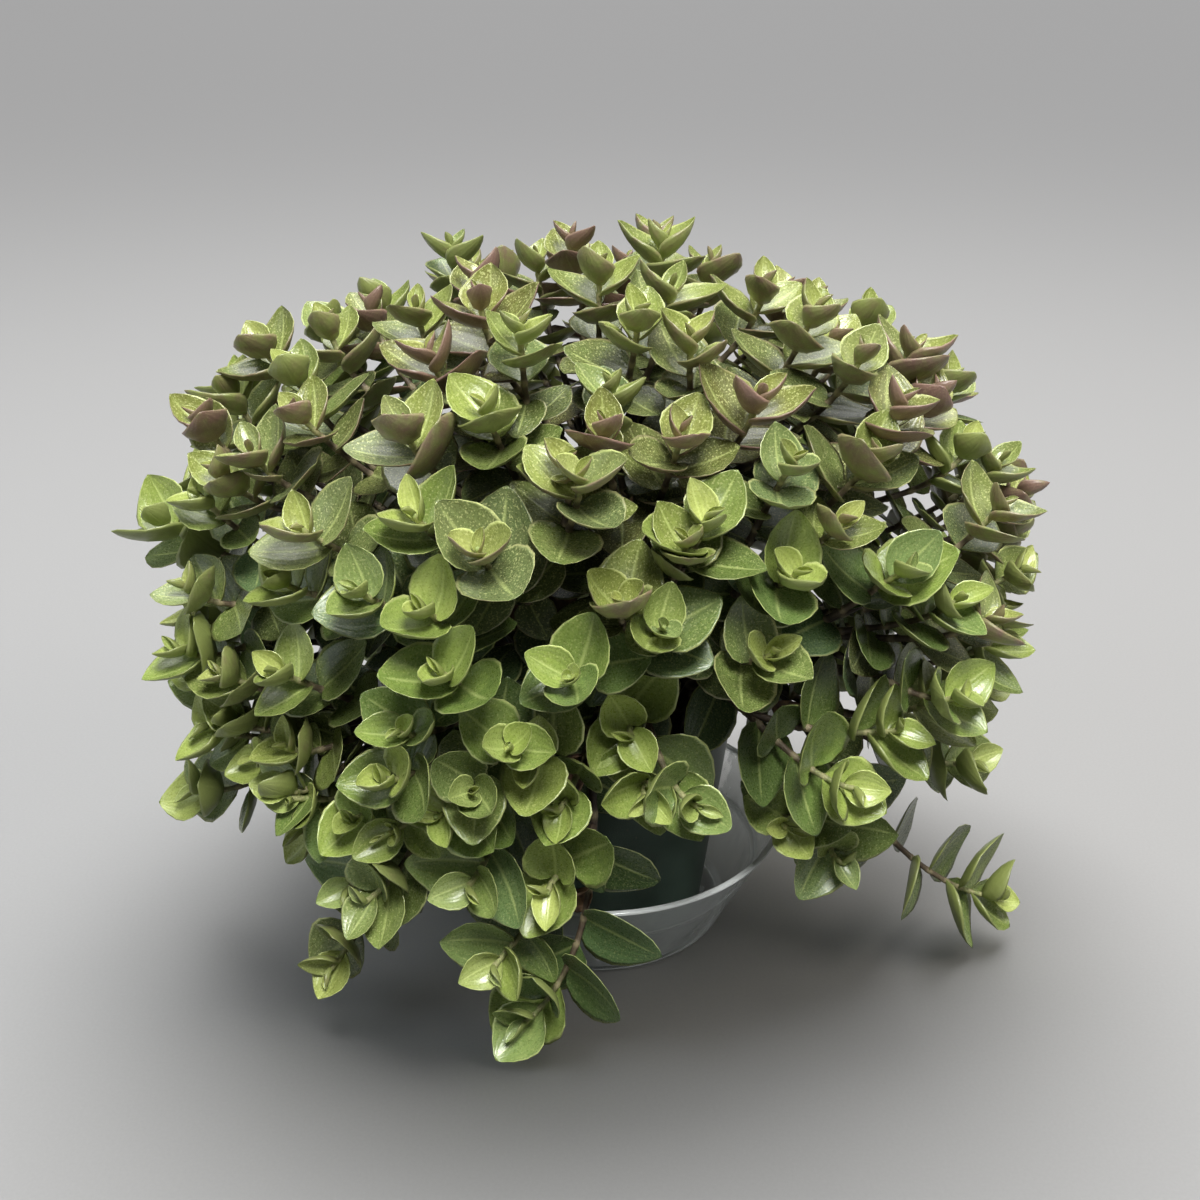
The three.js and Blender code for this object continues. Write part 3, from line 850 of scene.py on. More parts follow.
class Net:
    """The nodes of one finish."""

    def __init__(self, name: str) -> None:
        """Starts a material with no nodes.

        Args:
            name: the material's name.
        """
        self.material = bpy.data.materials.new(name)
        self.material.use_nodes = True
        self.tree = self.material.node_tree
        self.tree.nodes.clear()

    def node(self, kind: str, settings: dict | None = None, inputs: dict | None = None) -> bpy.types.Node:
        """Adds a node.

        Args:
            kind: the node's type.
            settings: its settings; stops is a colour ramp's places and colours.
            inputs: numbers, colours or wires for its sockets, by name or number.
        Returns:
            The node.
        """
        made = self.tree.nodes.new(kind)
        for name, value in (settings or {}).items():
            if name == "stops":
                self.set_stops(made.color_ramp, value)
            else:
                setattr(made, name, value)
        for key, value in (inputs or {}).items():
            socket = made.inputs[key]
            if isinstance(value, Wire):
                self.tree.links.new(value.socket, socket)
            elif isinstance(value, tuple) and len(value) == 3 and socket.type == "RGBA":
                socket.default_value = (*value, 1.0)
            else:
                socket.default_value = value
        return made

    @staticmethod
    def set_stops(ramp: bpy.types.ColorRamp, stops: list[tuple[float, tuple]]) -> None:
        """Sets a colour ramp's places and colours."""
        for _ in range(len(stops) - 2):
            ramp.elements.new(0.5)
        for element, (place, colour) in zip(ramp.elements, stops):
            element.position = place
            element.color = (*colour, 1.0)

    def wire(self, kind: str, settings: dict | None = None, inputs: dict | None = None,
             output: int | str = 0) -> Wire:
        """Adds a node and gives one of its outputs."""
        return Wire(self, self.node(kind, settings, inputs).outputs[output])

    def math(self, operation: str, *values: Value) -> Wire:
        """Adds a Math node."""
        return self.wire("ShaderNodeMath", {"operation": operation}, dict(enumerate(values)))

    def attribute(self, name: str) -> Wire:
        """A value kept on the mesh."""
        return self.wire("ShaderNodeAttribute", {"attribute_name": name}, output="Fac")

    def place(self) -> Wire:
        """The point on the object, in metres."""
        return self.wire("ShaderNodeTexCoord", output="Object")

    def noise(self, where: Wire, scale: float, detail: float = 2.0, rough: float = 0.5) -> Wire:
        """Smooth noise, 0 to 1, with a number of bumps a metre."""
        values = {"Vector": where, "Scale": scale, "Detail": detail, "Roughness": rough}
        return self.wire("ShaderNodeTexNoise", None, values, "Fac")

    def stretched(self, where: Wire, scale: tuple[float, float, float]) -> Wire:
        """A place with its axes scaled."""
        return self.wire("ShaderNodeMapping", None, {"Vector": where, "Scale": scale})

    def mix(self, share: Value, first: Colour, second: Colour, blend: str = "MIX") -> Wire:
        """A colour between two colours."""
        settings = {"data_type": "RGBA", "blend_type": blend}
        return self.wire("ShaderNodeMix", settings, {0: share, 6: first, 7: second}, 2)

    def shade(self, colour: Colour, value: Wire) -> Wire:
        """A colour times a number."""
        grey = self.wire("ShaderNodeCombineColor", None, {0: value, 1: value, 2: value})
        return self.mix(1.0, colour, grey, "MULTIPLY")

    def ramp(self, value: Wire, stops: list[tuple[float, tuple]]) -> Wire:
        """A colour from a ramp."""
        return self.wire("ShaderNodeValToRGB", {"stops": stops}, {0: value})

    def bump(self, height: Wire, distance: float, strength: float = 1.0) -> Wire:
        """A normal tipped by a height."""
        values = {"Height": height, "Distance": distance, "Strength": strength}
        return self.wire("ShaderNodeBump", None, values)

    def finish(self, shader: Wire) -> bpy.types.Material:
        """Joins a shader to the output and gives the material."""
        self.node("ShaderNodeOutputMaterial", None, {"Surface": shader})
        return self.material

    def principled(self, values: dict) -> bpy.types.Material:
        """Ends with one Principled shader and gives the material."""
        return self.finish(self.wire("ShaderNodeBsdfPrincipled", None, values))


@dataclass(frozen=True)
class LeafFinish:
    """A slightly fleshy leaf: yellow-green when young, deeper later, with a pale edge and faint veins; leaves
    high on the crown are tinted bronze and darkened, partly as painted shade.
    """

    ages: tuple = ((0.0, paint(180, 192, 108)), (0.22, paint(142, 160, 78)), (0.5, paint(100, 122, 58)),
                   (1.0, paint(64, 84, 48)))
    blue_green: tuple = paint(84, 114, 84)
    bronze_and_shade: tuple = paint(110, 94, 56)
    edge: tuple = paint(200, 212, 136)
    brown_edge: tuple = paint(128, 100, 92)
    speck: tuple = paint(206, 210, 146)
    under_green: tuple = paint(122, 130, 74)
    under_purple: tuple = paint(118, 86, 84)
    dry_light: tuple = paint(132, 104, 78)
    dry_dark: tuple = paint(70, 46, 36)
    veins: float = 26.0

    def material(self) -> bpy.types.Material:
        """Builds the finish. Veins are a sine of the place across the blade, so they meet at its ends."""
        net = Net("leaf")
        blade = net.wire("ShaderNodeUVMap", {"uv_map": "blade"})
        parts = net.node("ShaderNodeSeparateXYZ", None, {0: blade})
        along, across = Wire(net, parts.outputs[0]), Wire(net, parts.outputs[1]) * 2 - 1
        where = net.place()
        age, tint, bronze_and_shade = net.attribute("age"), net.attribute("tint"), net.attribute("bronze_and_shade")
        under, dry = net.attribute("under"), net.attribute("dry")
        broad = net.noise(where, 260, 2)
        fine = net.noise(where, 1500, 2, 0.6)
        stripe = (across * self.veins + broad * 3).sine()
        border = abs(across).between(0.9, 0.98)
        rib = abs(across).between(0.09, 0.0) * along.between(1.0, 0.75)
        colour = net.ramp(age + (broad - 0.5) * 0.25, list(self.ages))
        colour = net.mix(tint.between(0.45, 1.0) * 0.55, colour, self.blue_green)
        # This bronze mix also paints shade, darkening the leaves high on the crown.
        colour = net.mix(bronze_and_shade * (0.3 + broad * 0.6) * 0.85, colour, self.bronze_and_shade)
        colour = net.shade(colour, 0.95 + stripe * 0.05 + (fine - 0.5) * 0.45)
        speck = net.noise(where, 1700, 1, 0.5).between(0.56, 0.68) * (0.22 + bronze_and_shade * 0.4)
        colour = net.mix(speck, colour, self.speck)
        colour = net.mix(rib * 0.35, colour, self.edge)
        rim = net.mix((bronze_and_shade + 0.35) * age, self.edge, self.brown_edge)
        colour = net.mix(border * 0.7, colour, rim)
        purple = (bronze_and_shade + (broad - 0.5) * 0.8).between(0.35, 0.95)
        below = net.mix(purple, self.under_green, self.under_purple)
        colour = net.mix(under * 0.85, colour, below)
        withered = net.mix(broad.between(0.35, 0.65), self.dry_light, self.dry_dark)
        colour = net.mix(dry, colour, withered)
        rough = 0.3 + (fine - 0.5) * 0.3 + dry * 0.35 + under * 0.12
        height = stripe * 0.12 - rib * 0.7 + fine * 0.5 + dry * broad * 3
        return net.principled({
            "Base Color": colour, "Roughness": rough, "Normal": net.bump(height, 0.0002, 0.8),
            "Coat Weight": 0.12, "Coat Roughness": 0.3, "Specular IOR Level": 0.55,
        })


@dataclass(frozen=True)
class StemFinish:
    """A thin stem: dark brown, greener near its end, with a pale ring at each joint."""

    old: tuple = paint(46, 36, 32)
    middle: tuple = paint(74, 60, 46)
    young: tuple = paint(132, 148, 84)
    ring: tuple = paint(168, 156, 120)

    def material(self) -> bpy.types.Material:
        """Builds the finish from the values youth and ring that the stem's points carry."""
        net = Net("stem")
        where = net.place()
        streak = net.noise(net.stretched(where, (1, 1, 0.3)), 1800, 3)
        youth = net.attribute("youth") + (streak - 0.5) * 0.3
        colour = net.ramp(youth, [(0.0, self.old), (0.5, self.middle), (0.9, self.young)])
        colour = net.mix(net.attribute("ring") * 0.6, colour, self.ring)
        colour = net.shade(colour, 0.75 + streak * 0.5)
        return net.principled({
            "Base Color": colour, "Roughness": 0.5 + streak * 0.2, "Normal": net.bump(streak, 0.0003),
        })


@dataclass(frozen=True)
class PotFinish:
    """Dark green moulded plastic, dulled by handling, with a little dust."""

    body: tuple = paint(54, 74, 62)
    worn: tuple = paint(74, 92, 82)
    dust: tuple = paint(120, 116, 104)

    def material(self) -> bpy.types.Material:
        """Builds the finish: cloudy wear, fine scratches round the pot and specks of dust."""
        net = Net("pot_plastic")
        where = net.place()
        cloud = net.noise(where, 30, 4, 0.6)
        scratch = net.noise(net.stretched(where, (60, 60, 1400)), 1, 3, 0.7)
        grain = net.noise(where, 2600, 1)
        specks = net.noise(where, 420, 2, 0.8).between(0.66, 0.74)
        colour = net.mix(cloud.between(0.35, 0.75) * 0.7, self.body, self.worn)
        colour = net.mix(scratch.between(0.6, 0.8) * 0.25, colour, self.worn)
        colour = net.mix(specks * 0.35, colour, self.dust)
        return net.principled({
            "Base Color": colour, "Roughness": 0.42 + cloud * 0.16 + specks * 0.2,
            "Normal": net.bump(grain + scratch * 0.6, 0.00008),
        })


@dataclass(frozen=True)
class SaucerFinish:
    """Thin clear plastic: nearly nothing face-on, bright where it turns away, slightly wavy."""

    tint: tuple = (0.985, 0.99, 0.99)
    surface: tuple = paint(238, 242, 242)

    def material(self) -> bpy.types.Material:
        """Builds the finish: a mix of see-through and gloss by how far the wall turns from the eye, with
        painted highlight lines where the edge value is high and faint painted reflection streaks where the
        wall waves.
        """
        net = Net("clear_plastic")
        where = net.place()
        waves_and_painted_streaks = net.noise(net.stretched(where, (1, 1, 0.35)), 60, 2)
        haze = net.noise(where, 300, 3)
        normal = net.bump(waves_and_painted_streaks + haze * 0.05, 0.003, 0.6)
        facing = net.wire("ShaderNodeFresnel", None, {"IOR": 1.42, "Normal": normal})
        clear = net.wire("ShaderNodeBsdfTransparent", None, {"Color": self.tint})
        gloss = net.wire("ShaderNodeBsdfPrincipled", None, {
            "Base Color": self.surface, "Metallic": 0.1, "Roughness": 0.12, "Normal": normal,
        })
        # Where the waves rise, the wall turns whiter and glossier: painted reflection streaks. The same waves
        # also tilt the normal.
        share = facing * 0.45 + waves_and_painted_streaks.between(0.6, 0.75) * 0.1 + haze * 0.03
        # The edge value paints highlight lines: the lip, the step and the foot turn whiter and glossier.
        share = share + net.attribute("edge") * 0.5 + 0.03
        shader = net.wire("ShaderNodeMixShader", None, {0: share, 1: clear, 2: gloss})
        return net.finish(shader)


@dataclass(frozen=True)
class SoilFinish:
    """Dark damp peat."""

    dark: tuple = paint(36, 28, 23)
    light: tuple = paint(84, 66, 50)

    def material(self) -> bpy.types.Material:
        """Builds the finish: fibres and crumbs in two sizes of noise."""
        net = Net("peat")
        where = net.place()
        crumbs = net.noise(where, 420, 4, 0.7)
        fibres = net.noise(net.stretched(where, (1, 3, 1)), 900, 3, 0.7)
        share = crumbs.between(0.4, 0.75) * 0.6 + fibres.between(0.6, 0.8) * 0.4
        colour = net.mix(share, self.dark, self.light)
        return net.principled({
            "Base Color": colour, "Roughness": 0.95, "Normal": net.bump(crumbs + fibres * 0.4, 0.0015),
        })


@dataclass(frozen=True)
class Pot:
    """A tapered nursery pot with a stepped lip and drain holes."""

    bottom: float = 3.0
    height: float = 89.0
    base_radius: float = 38.5
    rim_radius: float = 50.4
    wall: float = 1.2
    lip: float = 1.8
    lip_height: float = 9.0
    holes: int = 6
    hole_radius: float = 3.5
    hole_ring: float = 0.72
    hole_steps: int = 32
    sharp_angle: float = 40.0
    steps: int = 128

    def outer(self, height: float) -> float:
        """Outside radius at a height."""
        widen = self.rim_radius - 1 - self.base_radius
        return self.base_radius + widen * (height - self.bottom) / self.height

    def inner(self, height: float) -> float:
        """Inside radius at a height."""
        return self.outer(height) - self.wall

    def shell(self) -> tuple[Array, list[Array]]:
        """The cup turned from its profile, without its holes."""
        top, low = self.bottom + self.height, self.bottom + self.wall
        foot = top - self.lip_height
        profile = np.array([
            [0, self.bottom], [self.base_radius - 1, self.bottom], [self.base_radius, self.bottom + 1],
            [self.outer(foot), foot], [self.outer(foot) + self.lip, foot], [self.rim_radius + self.lip, top],
            [self.rim_radius, top], [self.inner(foot), foot - 1], [self.inner(low) - 1, low], [0, low],
        ])
        return lathe(filled(rounded(profile, 0.6), 9), self.steps)

    def build(self) -> None:
        """Makes the pot and cuts its drain holes."""
        surface = Surface()
        surface.add(*self.shell())
        pot = surface.piece("nursery_pot", PotFinish().material())
        cutters = Surface()
        for i in range(self.holes):
            angle = 2 * math.pi * (i + 0.5) / self.holes
            drill = np.array([[0, 0], [self.hole_radius, 0], [self.hole_radius, 9], [0, 9]])
            points, faces = lathe(drill, self.hole_steps)
            middle = np.array([math.cos(angle), math.sin(angle), 0]) * self.base_radius * self.hole_ring
            cutters.add(points + middle + UP * (self.bottom - 4), faces)
        cutter = cutters.piece("drain_cutter", pot.data.materials[0])
        cut = pot.modifiers.new("drains", "BOOLEAN")
        cut.object, cut.operation, cut.solver = cutter, "DIFFERENCE", "EXACT"
        graph = bpy.context.evaluated_depsgraph_get()
        mesh = bpy.data.meshes.new_from_object(pot.evaluated_get(graph))
        pot.modifiers.clear()
        pot.data = mesh
        bpy.data.objects.remove(cutter)
        edge_sharp = mesh.attributes.new("sharp_edge", "BOOLEAN", "EDGE")
        sharp_by_angle(mesh, edge_sharp, math.radians(self.sharp_angle))
        dress(pot, "pot")


def sharp_by_angle(mesh: bpy.types.Mesh, attribute: bpy.types.Attribute, limit: float) -> None:
    """Marks edges between two faces that meet at more than a limit.

    Args:
        mesh: a closed mesh.
        attribute: its true-or-false edge attribute for sharp edges.
        limit: the angle in radians.
    """
    normals = np.empty(len(mesh.polygons) * 3, np.float32)
    mesh.polygons.foreach_get("normal", normals)
    normals = normals.reshape(-1, 3)
    edges = np.empty(len(mesh.loops), np.int32)
    mesh.loops.foreach_get("edge_index", edges)
    totals = np.empty(len(mesh.polygons), np.int32)
    mesh.polygons.foreach_get("loop_total", totals)
    owner = np.repeat(np.arange(len(totals)), totals)
    order = np.argsort(edges, kind="stable")
    edges, owner = edges[order], owner[order]
    first = np.flatnonzero(np.diff(edges, prepend=-1))
    pairs = first[np.diff(np.append(first, len(edges))) == 2]
    cosines = (normals[owner[pairs]] * normals[owner[pairs + 1]]).sum(1)
    marks = np.zeros(len(mesh.edges), bool)
    marks[edges[pairs[cosines < math.cos(limit)]]] = True
    attribute.data.foreach_set("value", marks)


@dataclass(frozen=True)
class Saucer:
    """A deep clear saucer: flared wall with a step, a rolled lip, raised dashes, and ribs on its floor."""

    base_radius: float = 47.5
    rim_radius: float = 66.5
    height: float = 40.0
    wall: float = 1.1
    lip: float = 1.5
    ribs: int = 6
    rib_height: float = 1.6
    rib_width: float = 2.0
    step_at: float = 23.0
    step_out: float = 0.7
    dash_at: float = 16.5
    dashes: int = 36
    steps: int = 288

    def profile(self) -> Array:
        """Radius and height from the middle of the underside round the lip and back."""
        base, rim, top, wall = self.base_radius, self.rim_radius, self.height, self.wall
        slope = (rim - 0.6 - base) / (top - self.lip - 1.6)
        out, step = (lambda z: base + slope * (z - 1.6)), self.step_out
        corners = np.array([
            [0, 0], [base - 2, 0], [base, 1.6], [out(self.step_at), self.step_at],
            [out(self.step_at) + step, self.step_at + 0.6], [rim - 0.4, top - self.lip],
            [rim + 1, top - self.lip + 0.2], [rim + 1, top], [rim - wall, top],
            [out(self.step_at + 1) + step - wall, self.step_at + 1],
            [out(self.step_at) - wall, self.step_at + 0.4],
            [base - wall, wall + 1], [base - 3, wall], [0, wall],
        ])
        return filled(rounded(corners, 0.7), 1.5)

    def shell(self) -> tuple[Array, list[Array]]:
        """The turned dish, with dashes raised 0.4 mm on the outside of its wall."""
        points, faces = lathe(self.profile(), self.steps)
        radius = np.hypot(points[:, 0], points[:, 1])
        angle = np.arctan2(points[:, 1], points[:, 0])
        phase = np.abs((angle * self.dashes / (2 * np.pi)) % 1 - 0.5) * 2
        low = self.base_radius + 0.4986 * (points[:, 2] - 1.6) - 0.4
        raised = smooth_step(0.5, 0.35, phase) * smooth_step(1.3, 0.6, np.abs(points[:, 2] - self.dash_at))
        raised *= (radius > low) * 0.4
        points[:, :2] *= (1 + raised / np.maximum(radius, 1))[:, None]
        return points, faces

    def build(self) -> None:
        """Makes the dish and the ribs on its floor, with an edge value that paints highlight lines on the
        lip, the step, the foot and the ribs.
        """
        surface = Surface()
        points, faces = self.shell()
        radius, height = np.hypot(points[:, 0], points[:, 1]), points[:, 2]
        # Painted highlight lines: edge is 1 at the lip, 0.6 at the step and 0.5 at the foot.
        edge = smooth_step(self.height - 2.2, self.height - 1.2, height)
        edge = np.maximum(edge, 0.6 * smooth_step(1.2, 0.4, np.abs(height - self.step_at - 0.4)))
        edge = np.maximum(edge, 0.5 * (radius > self.base_radius - 2.5) * smooth_step(2.4, 1.2, height))
        surface.add(points, faces, point_values={"edge": edge})
        along = np.array([11.5, 12.5, 39.5, 40.5])
        half, top = self.rib_width / 2, self.wall + self.rib_height
        section = np.array([
            [-half, self.wall - 0.3], [-half, top - 0.4], [-half + 0.4, top],
            [half - 0.4, top], [half, top - 0.4], [half, self.wall - 0.3],
        ])
        drop = np.array([0.6, 0, 0, 0.6])
        for angle in 2 * np.pi * np.arange(self.ribs) / self.ribs:
            x = np.broadcast_to(along[:, None], (4, 6))
            y = np.broadcast_to(section[:, 0], (4, 6))
            z = section[None, :, 1] - drop[:, None] * (section[None, :, 1] > self.wall)
            c, s = np.cos(angle), np.sin(angle)
            grid = np.stack([x * c - y * s, x * s + y * c, z], -1)
            index = np.arange(24).reshape(4, 6)
            after = np.roll(index, -1, axis=1)
            quads = np.stack([index[:-1], index[1:], after[1:], after[:-1]], -1).reshape(-1, 4)
            ends = np.stack([index[0], index[3, ::-1]])
            # The ribs carry a faint painted highlight too.
            surface.add(grid.reshape(-1, 3), [quads, ends], point_values={"edge": np.full(24, 0.2)})
        saucer = surface.piece("clear_saucer", SaucerFinish().material())
        dress(saucer, "saucer")


@dataclass(frozen=True)
class Soil:
    """Peat that fills the pot, with an uneven top."""

    top: float = 80.0
    foot: float = 4.5
    foot_radius: float = 36.0
    top_radius: float = 46.1
    uneven: float = 1.3
    steps: int = 120

    def shell(self) -> tuple[Array, list[Array]]:
        """The turned plug; its top is moved up and down by a sum of crossing waves of 6 to 25 mm."""
        corners = np.array([
            [0, self.foot], [self.foot_radius, self.foot], [self.top_radius - 0.3, self.top - 2],
            [self.top_radius - 1.5, self.top], [0, self.top],
        ])
        profile = np.concatenate([filled(corners[:4], 12)[:-1], filled(corners[3:], 1.6)])
        points, faces = lathe(profile, self.steps)
        wave = np.arange(14)
        turn, run = 2 * np.pi * draw(wave, 1), 2 * np.pi / (6 + 19 * draw(wave, 2))
        phase = points[:, :1] * run * np.cos(turn) + points[:, 1:2] * run * np.sin(turn)
        phase = phase + 6.28 * draw(wave, 3)
        lift = (np.sin(phase) / run).sum(1) / (1 / run).sum() * 3.5
        points[:, 2] += np.where(points[:, 2] > self.top - 1, self.uneven * np.clip(lift, -1, 1), 0)
        return points, faces

    def build(self) -> None:
        """Makes the soil."""
        surface = Surface()
        surface.add(*self.shell())
        soil = surface.piece("peat", SoilFinish().material())
        dress(soil, "soil")


@dataclass(frozen=True)
class StemForm:
    """A stem as a tube along its path, swollen at each joint and thinner towards its end."""

    main_radius: float = 1.6
    branch_radius: float = 1.3
    end_radius: float = 0.75
    swell: float = 0.4
    swell_length: float = 1.2
    bare_joint: float = 12.0
    sides: int = 7
    spacing: float = 5.0
    root_depth: float = 12.0
    joint_marks: tuple = (-1.6, -0.6, 0.6, 1.6)
    taper: float = 1.3
    crown_youth: float = 20.0
    trail_youth: float = 34.0

    def add(self, surface: Surface, shoot: Shoot, back: Array) -> None:
        """Adds a shoot's stem: rings of points round the path, square to its direction.

        Args:
            surface: the mesh in hand.
            shoot: the shoot, with its path.
            back: how far each leaf stands back from the tip.
        """
        path = shoot.path
        total = path.length()
        leafy = total - back
        bare = np.arange(leafy.min() if len(leafy) else total, 0, -self.bare_joint)[1:]
        joints = np.concatenate([leafy, bare])
        marks = (joints[:, None] + np.array(self.joint_marks)).ravel()
        stations = np.concatenate([np.arange(0, total, self.spacing), marks, [total]])
        stations = np.unique(np.clip(stations, 0, total).round(1))
        t = path.parameter(stations)
        centres = path.point(t)
        headings = unit(path.point(np.minimum(t + 0.01, 1)) - path.point(np.maximum(t - 0.01, 0)))
        swelling = np.exp(-(((stations[:, None] - joints) / self.swell_length) ** 2)).max(1)
        start = self.main_radius if shoot.main else self.branch_radius
        radius = start + (self.end_radius - start) * (stations / total) ** self.taper
        radius = radius + self.swell * swelling * radius / start
        youth = np.exp(-(total - stations) / (self.trail_youth if shoot.trail else self.crown_youth))
        if shoot.main:
            centres = np.concatenate([centres[:1] - UP * self.root_depth, centres])
            headings = np.concatenate([UP[None], headings])
            radius, youth = np.append(start, radius), np.append(0, youth)
            swelling = np.append(0, swelling)
        level = around(shoot.azimuth)
        side = unit(level - headings * (headings @ level)[:, None])
        other = np.cross(headings, side)
        angle = 2 * np.pi * np.arange(self.sides) / self.sides
        ring = np.cos(angle)[:, None] * side[:, None] + np.sin(angle)[:, None] * other[:, None]
        tube = centres[:, None] + radius[:, None, None] * ring
        ends = np.stack([centres[0] - headings[0] * 0.3, centres[-1] + headings[-1] * 0.5])
        values = {"youth": youth, "ring": swelling}
        point_values = {k: np.concatenate([v[[0, -1]], np.repeat(v, self.sides)]) for k, v in values.items()}
        points = np.concatenate([ends, tube.reshape(-1, 3)])
        surface.add(points, ring_faces(len(tube), self.sides), point_values=point_values)


@dataclass(frozen=True)
class Fit:
    """A way to place a leaf: turned about its face, tipped about its width, and shrunk."""

    turn: float = 0.0
    tip: float = 0.0
    shrink: float = 1.0


@dataclass
class Thicket:
    """Places leaves, the youngest first, so that fewer of them pass through each other.

    A leaf that would meet the pot, the saucer or the soil is placed another way or left out. The test leaves
    out the feet of the blades, and it keeps the youngest few leaves of a shoot even where no fit is clear,
    so some blades do cut into each other.
    """

    form: LeafForm
    fits: tuple = (
        Fit(), Fit(0.25), Fit(-0.25), Fit(0, 0.3), Fit(0, -0.3), Fit(0.5, 0, 0.92), Fit(-0.5, 0, 0.92),
        Fit(0.3, 0.4, 0.86), Fit(-0.3, -0.4, 0.86), Fit(0.8, 0.2, 0.86), Fit(-0.8, -0.2, 0.86),
        Fit(0, 0.55, 0.8), Fit(0, -0.55, 0.8), Fit(0, 0, 0.68), Fit(0.6, 0.3, 0.6), Fit(-0.6, -0.3, 0.6),
    )
    floor: float = 2.0
    always_kept: int = 5
    skip_rows: int = 2
    stem_margin: float = 3.0

    def blades(self, leaves: Leaves) -> tuple[Array, Array]:
        """Blades without their feet, as point grids, and the faces of one grid."""
        upper, _ = self.form.surfaces(leaves)
        grid = upper[:, self.skip_rows:]
        rows, cols = grid.shape[1:3]
        index = np.arange(rows * cols).reshape(rows, cols)
        return grid.reshape(len(grid), -1, 3), grid_quads(index)

    def place(self, leaves: Leaves, order: Array, owner: Array, lines: list[Array], stems: list[BVHTree],
              solids: list[BVHTree]) -> tuple[Leaves, Array]:
        """Chooses a fit for each leaf.

        Args:
            leaves: all leaves.
            order: each leaf's number back from its tip.
            owner: each leaf's shoot.
            lines: points along each shoot's stem.
            stems: a tree of faces for each shoot's stem.
            solids: trees of the things round the plant.
        Returns:
            The leaves that fit, as they fit, and their numbers among all leaves.
        """
        choices = [leaves.fitted(fit) for fit in self.fits]
        blades = [self.blades(choice) for choice in choices]
        faces = blades[0][1].tolist()
        middles = np.stack([points.mean(1) for points, _ in blades])
        reaches = np.stack([np.linalg.norm(points - points.mean(1, keepdims=True), axis=2).max(1)
                            for points, _ in blades])
        stem_points = np.concatenate(lines)
        stem_owner = np.repeat(np.arange(len(lines)), [len(line) for line in lines])
        chosen = np.full(len(order), -1)
        trees: list[BVHTree | None] = [None] * len(order)
        spots, radii = np.full((len(order), 3), 1e6), np.zeros(len(order))
        for leaf in np.argsort(order, kind="stable"):
            best = (1e9, -1, None)
            for choice, (points, _) in enumerate(blades):
                blade, middle, reach = points[leaf], middles[choice, leaf], reaches[choice, leaf]
                if blade[:, 2].min() < self.floor:
                    continue
                tree = BVHTree.FromPolygons(blade.tolist(), faces)
                if any(tree.overlap(solid) for solid in solids):
                    continue
                near = np.linalg.norm(spots - middle, axis=1) < radii + reach
                hits = sum(bool(tree.overlap(trees[i])) for i in np.flatnonzero(near))
                passed = stem_owner[np.linalg.norm(stem_points - middle, axis=1) < reach + self.stem_margin]
                hits += sum(bool(tree.overlap(stems[i])) for i in set(passed.tolist()) - {int(owner[leaf])})
                if hits < best[0]:
                    best = (hits, choice, tree)
                if hits == 0:
                    break
            hits, choice, tree = best
            if choice < 0 or (hits and order[leaf] >= self.always_kept):
                continue
            chosen[leaf], trees[leaf] = choice, tree
            spots[leaf], radii[leaf] = middles[choice, leaf], reaches[choice, leaf]
        kept = np.flatnonzero(chosen >= 0)
        log.info("leaves: %d of %d placed, %d as they grew", len(kept), len(order), (chosen == 0).sum())
        return Leaves.joined([choices[chosen[i]].pick(slice(i, i + 1)) for i in kept]), kept


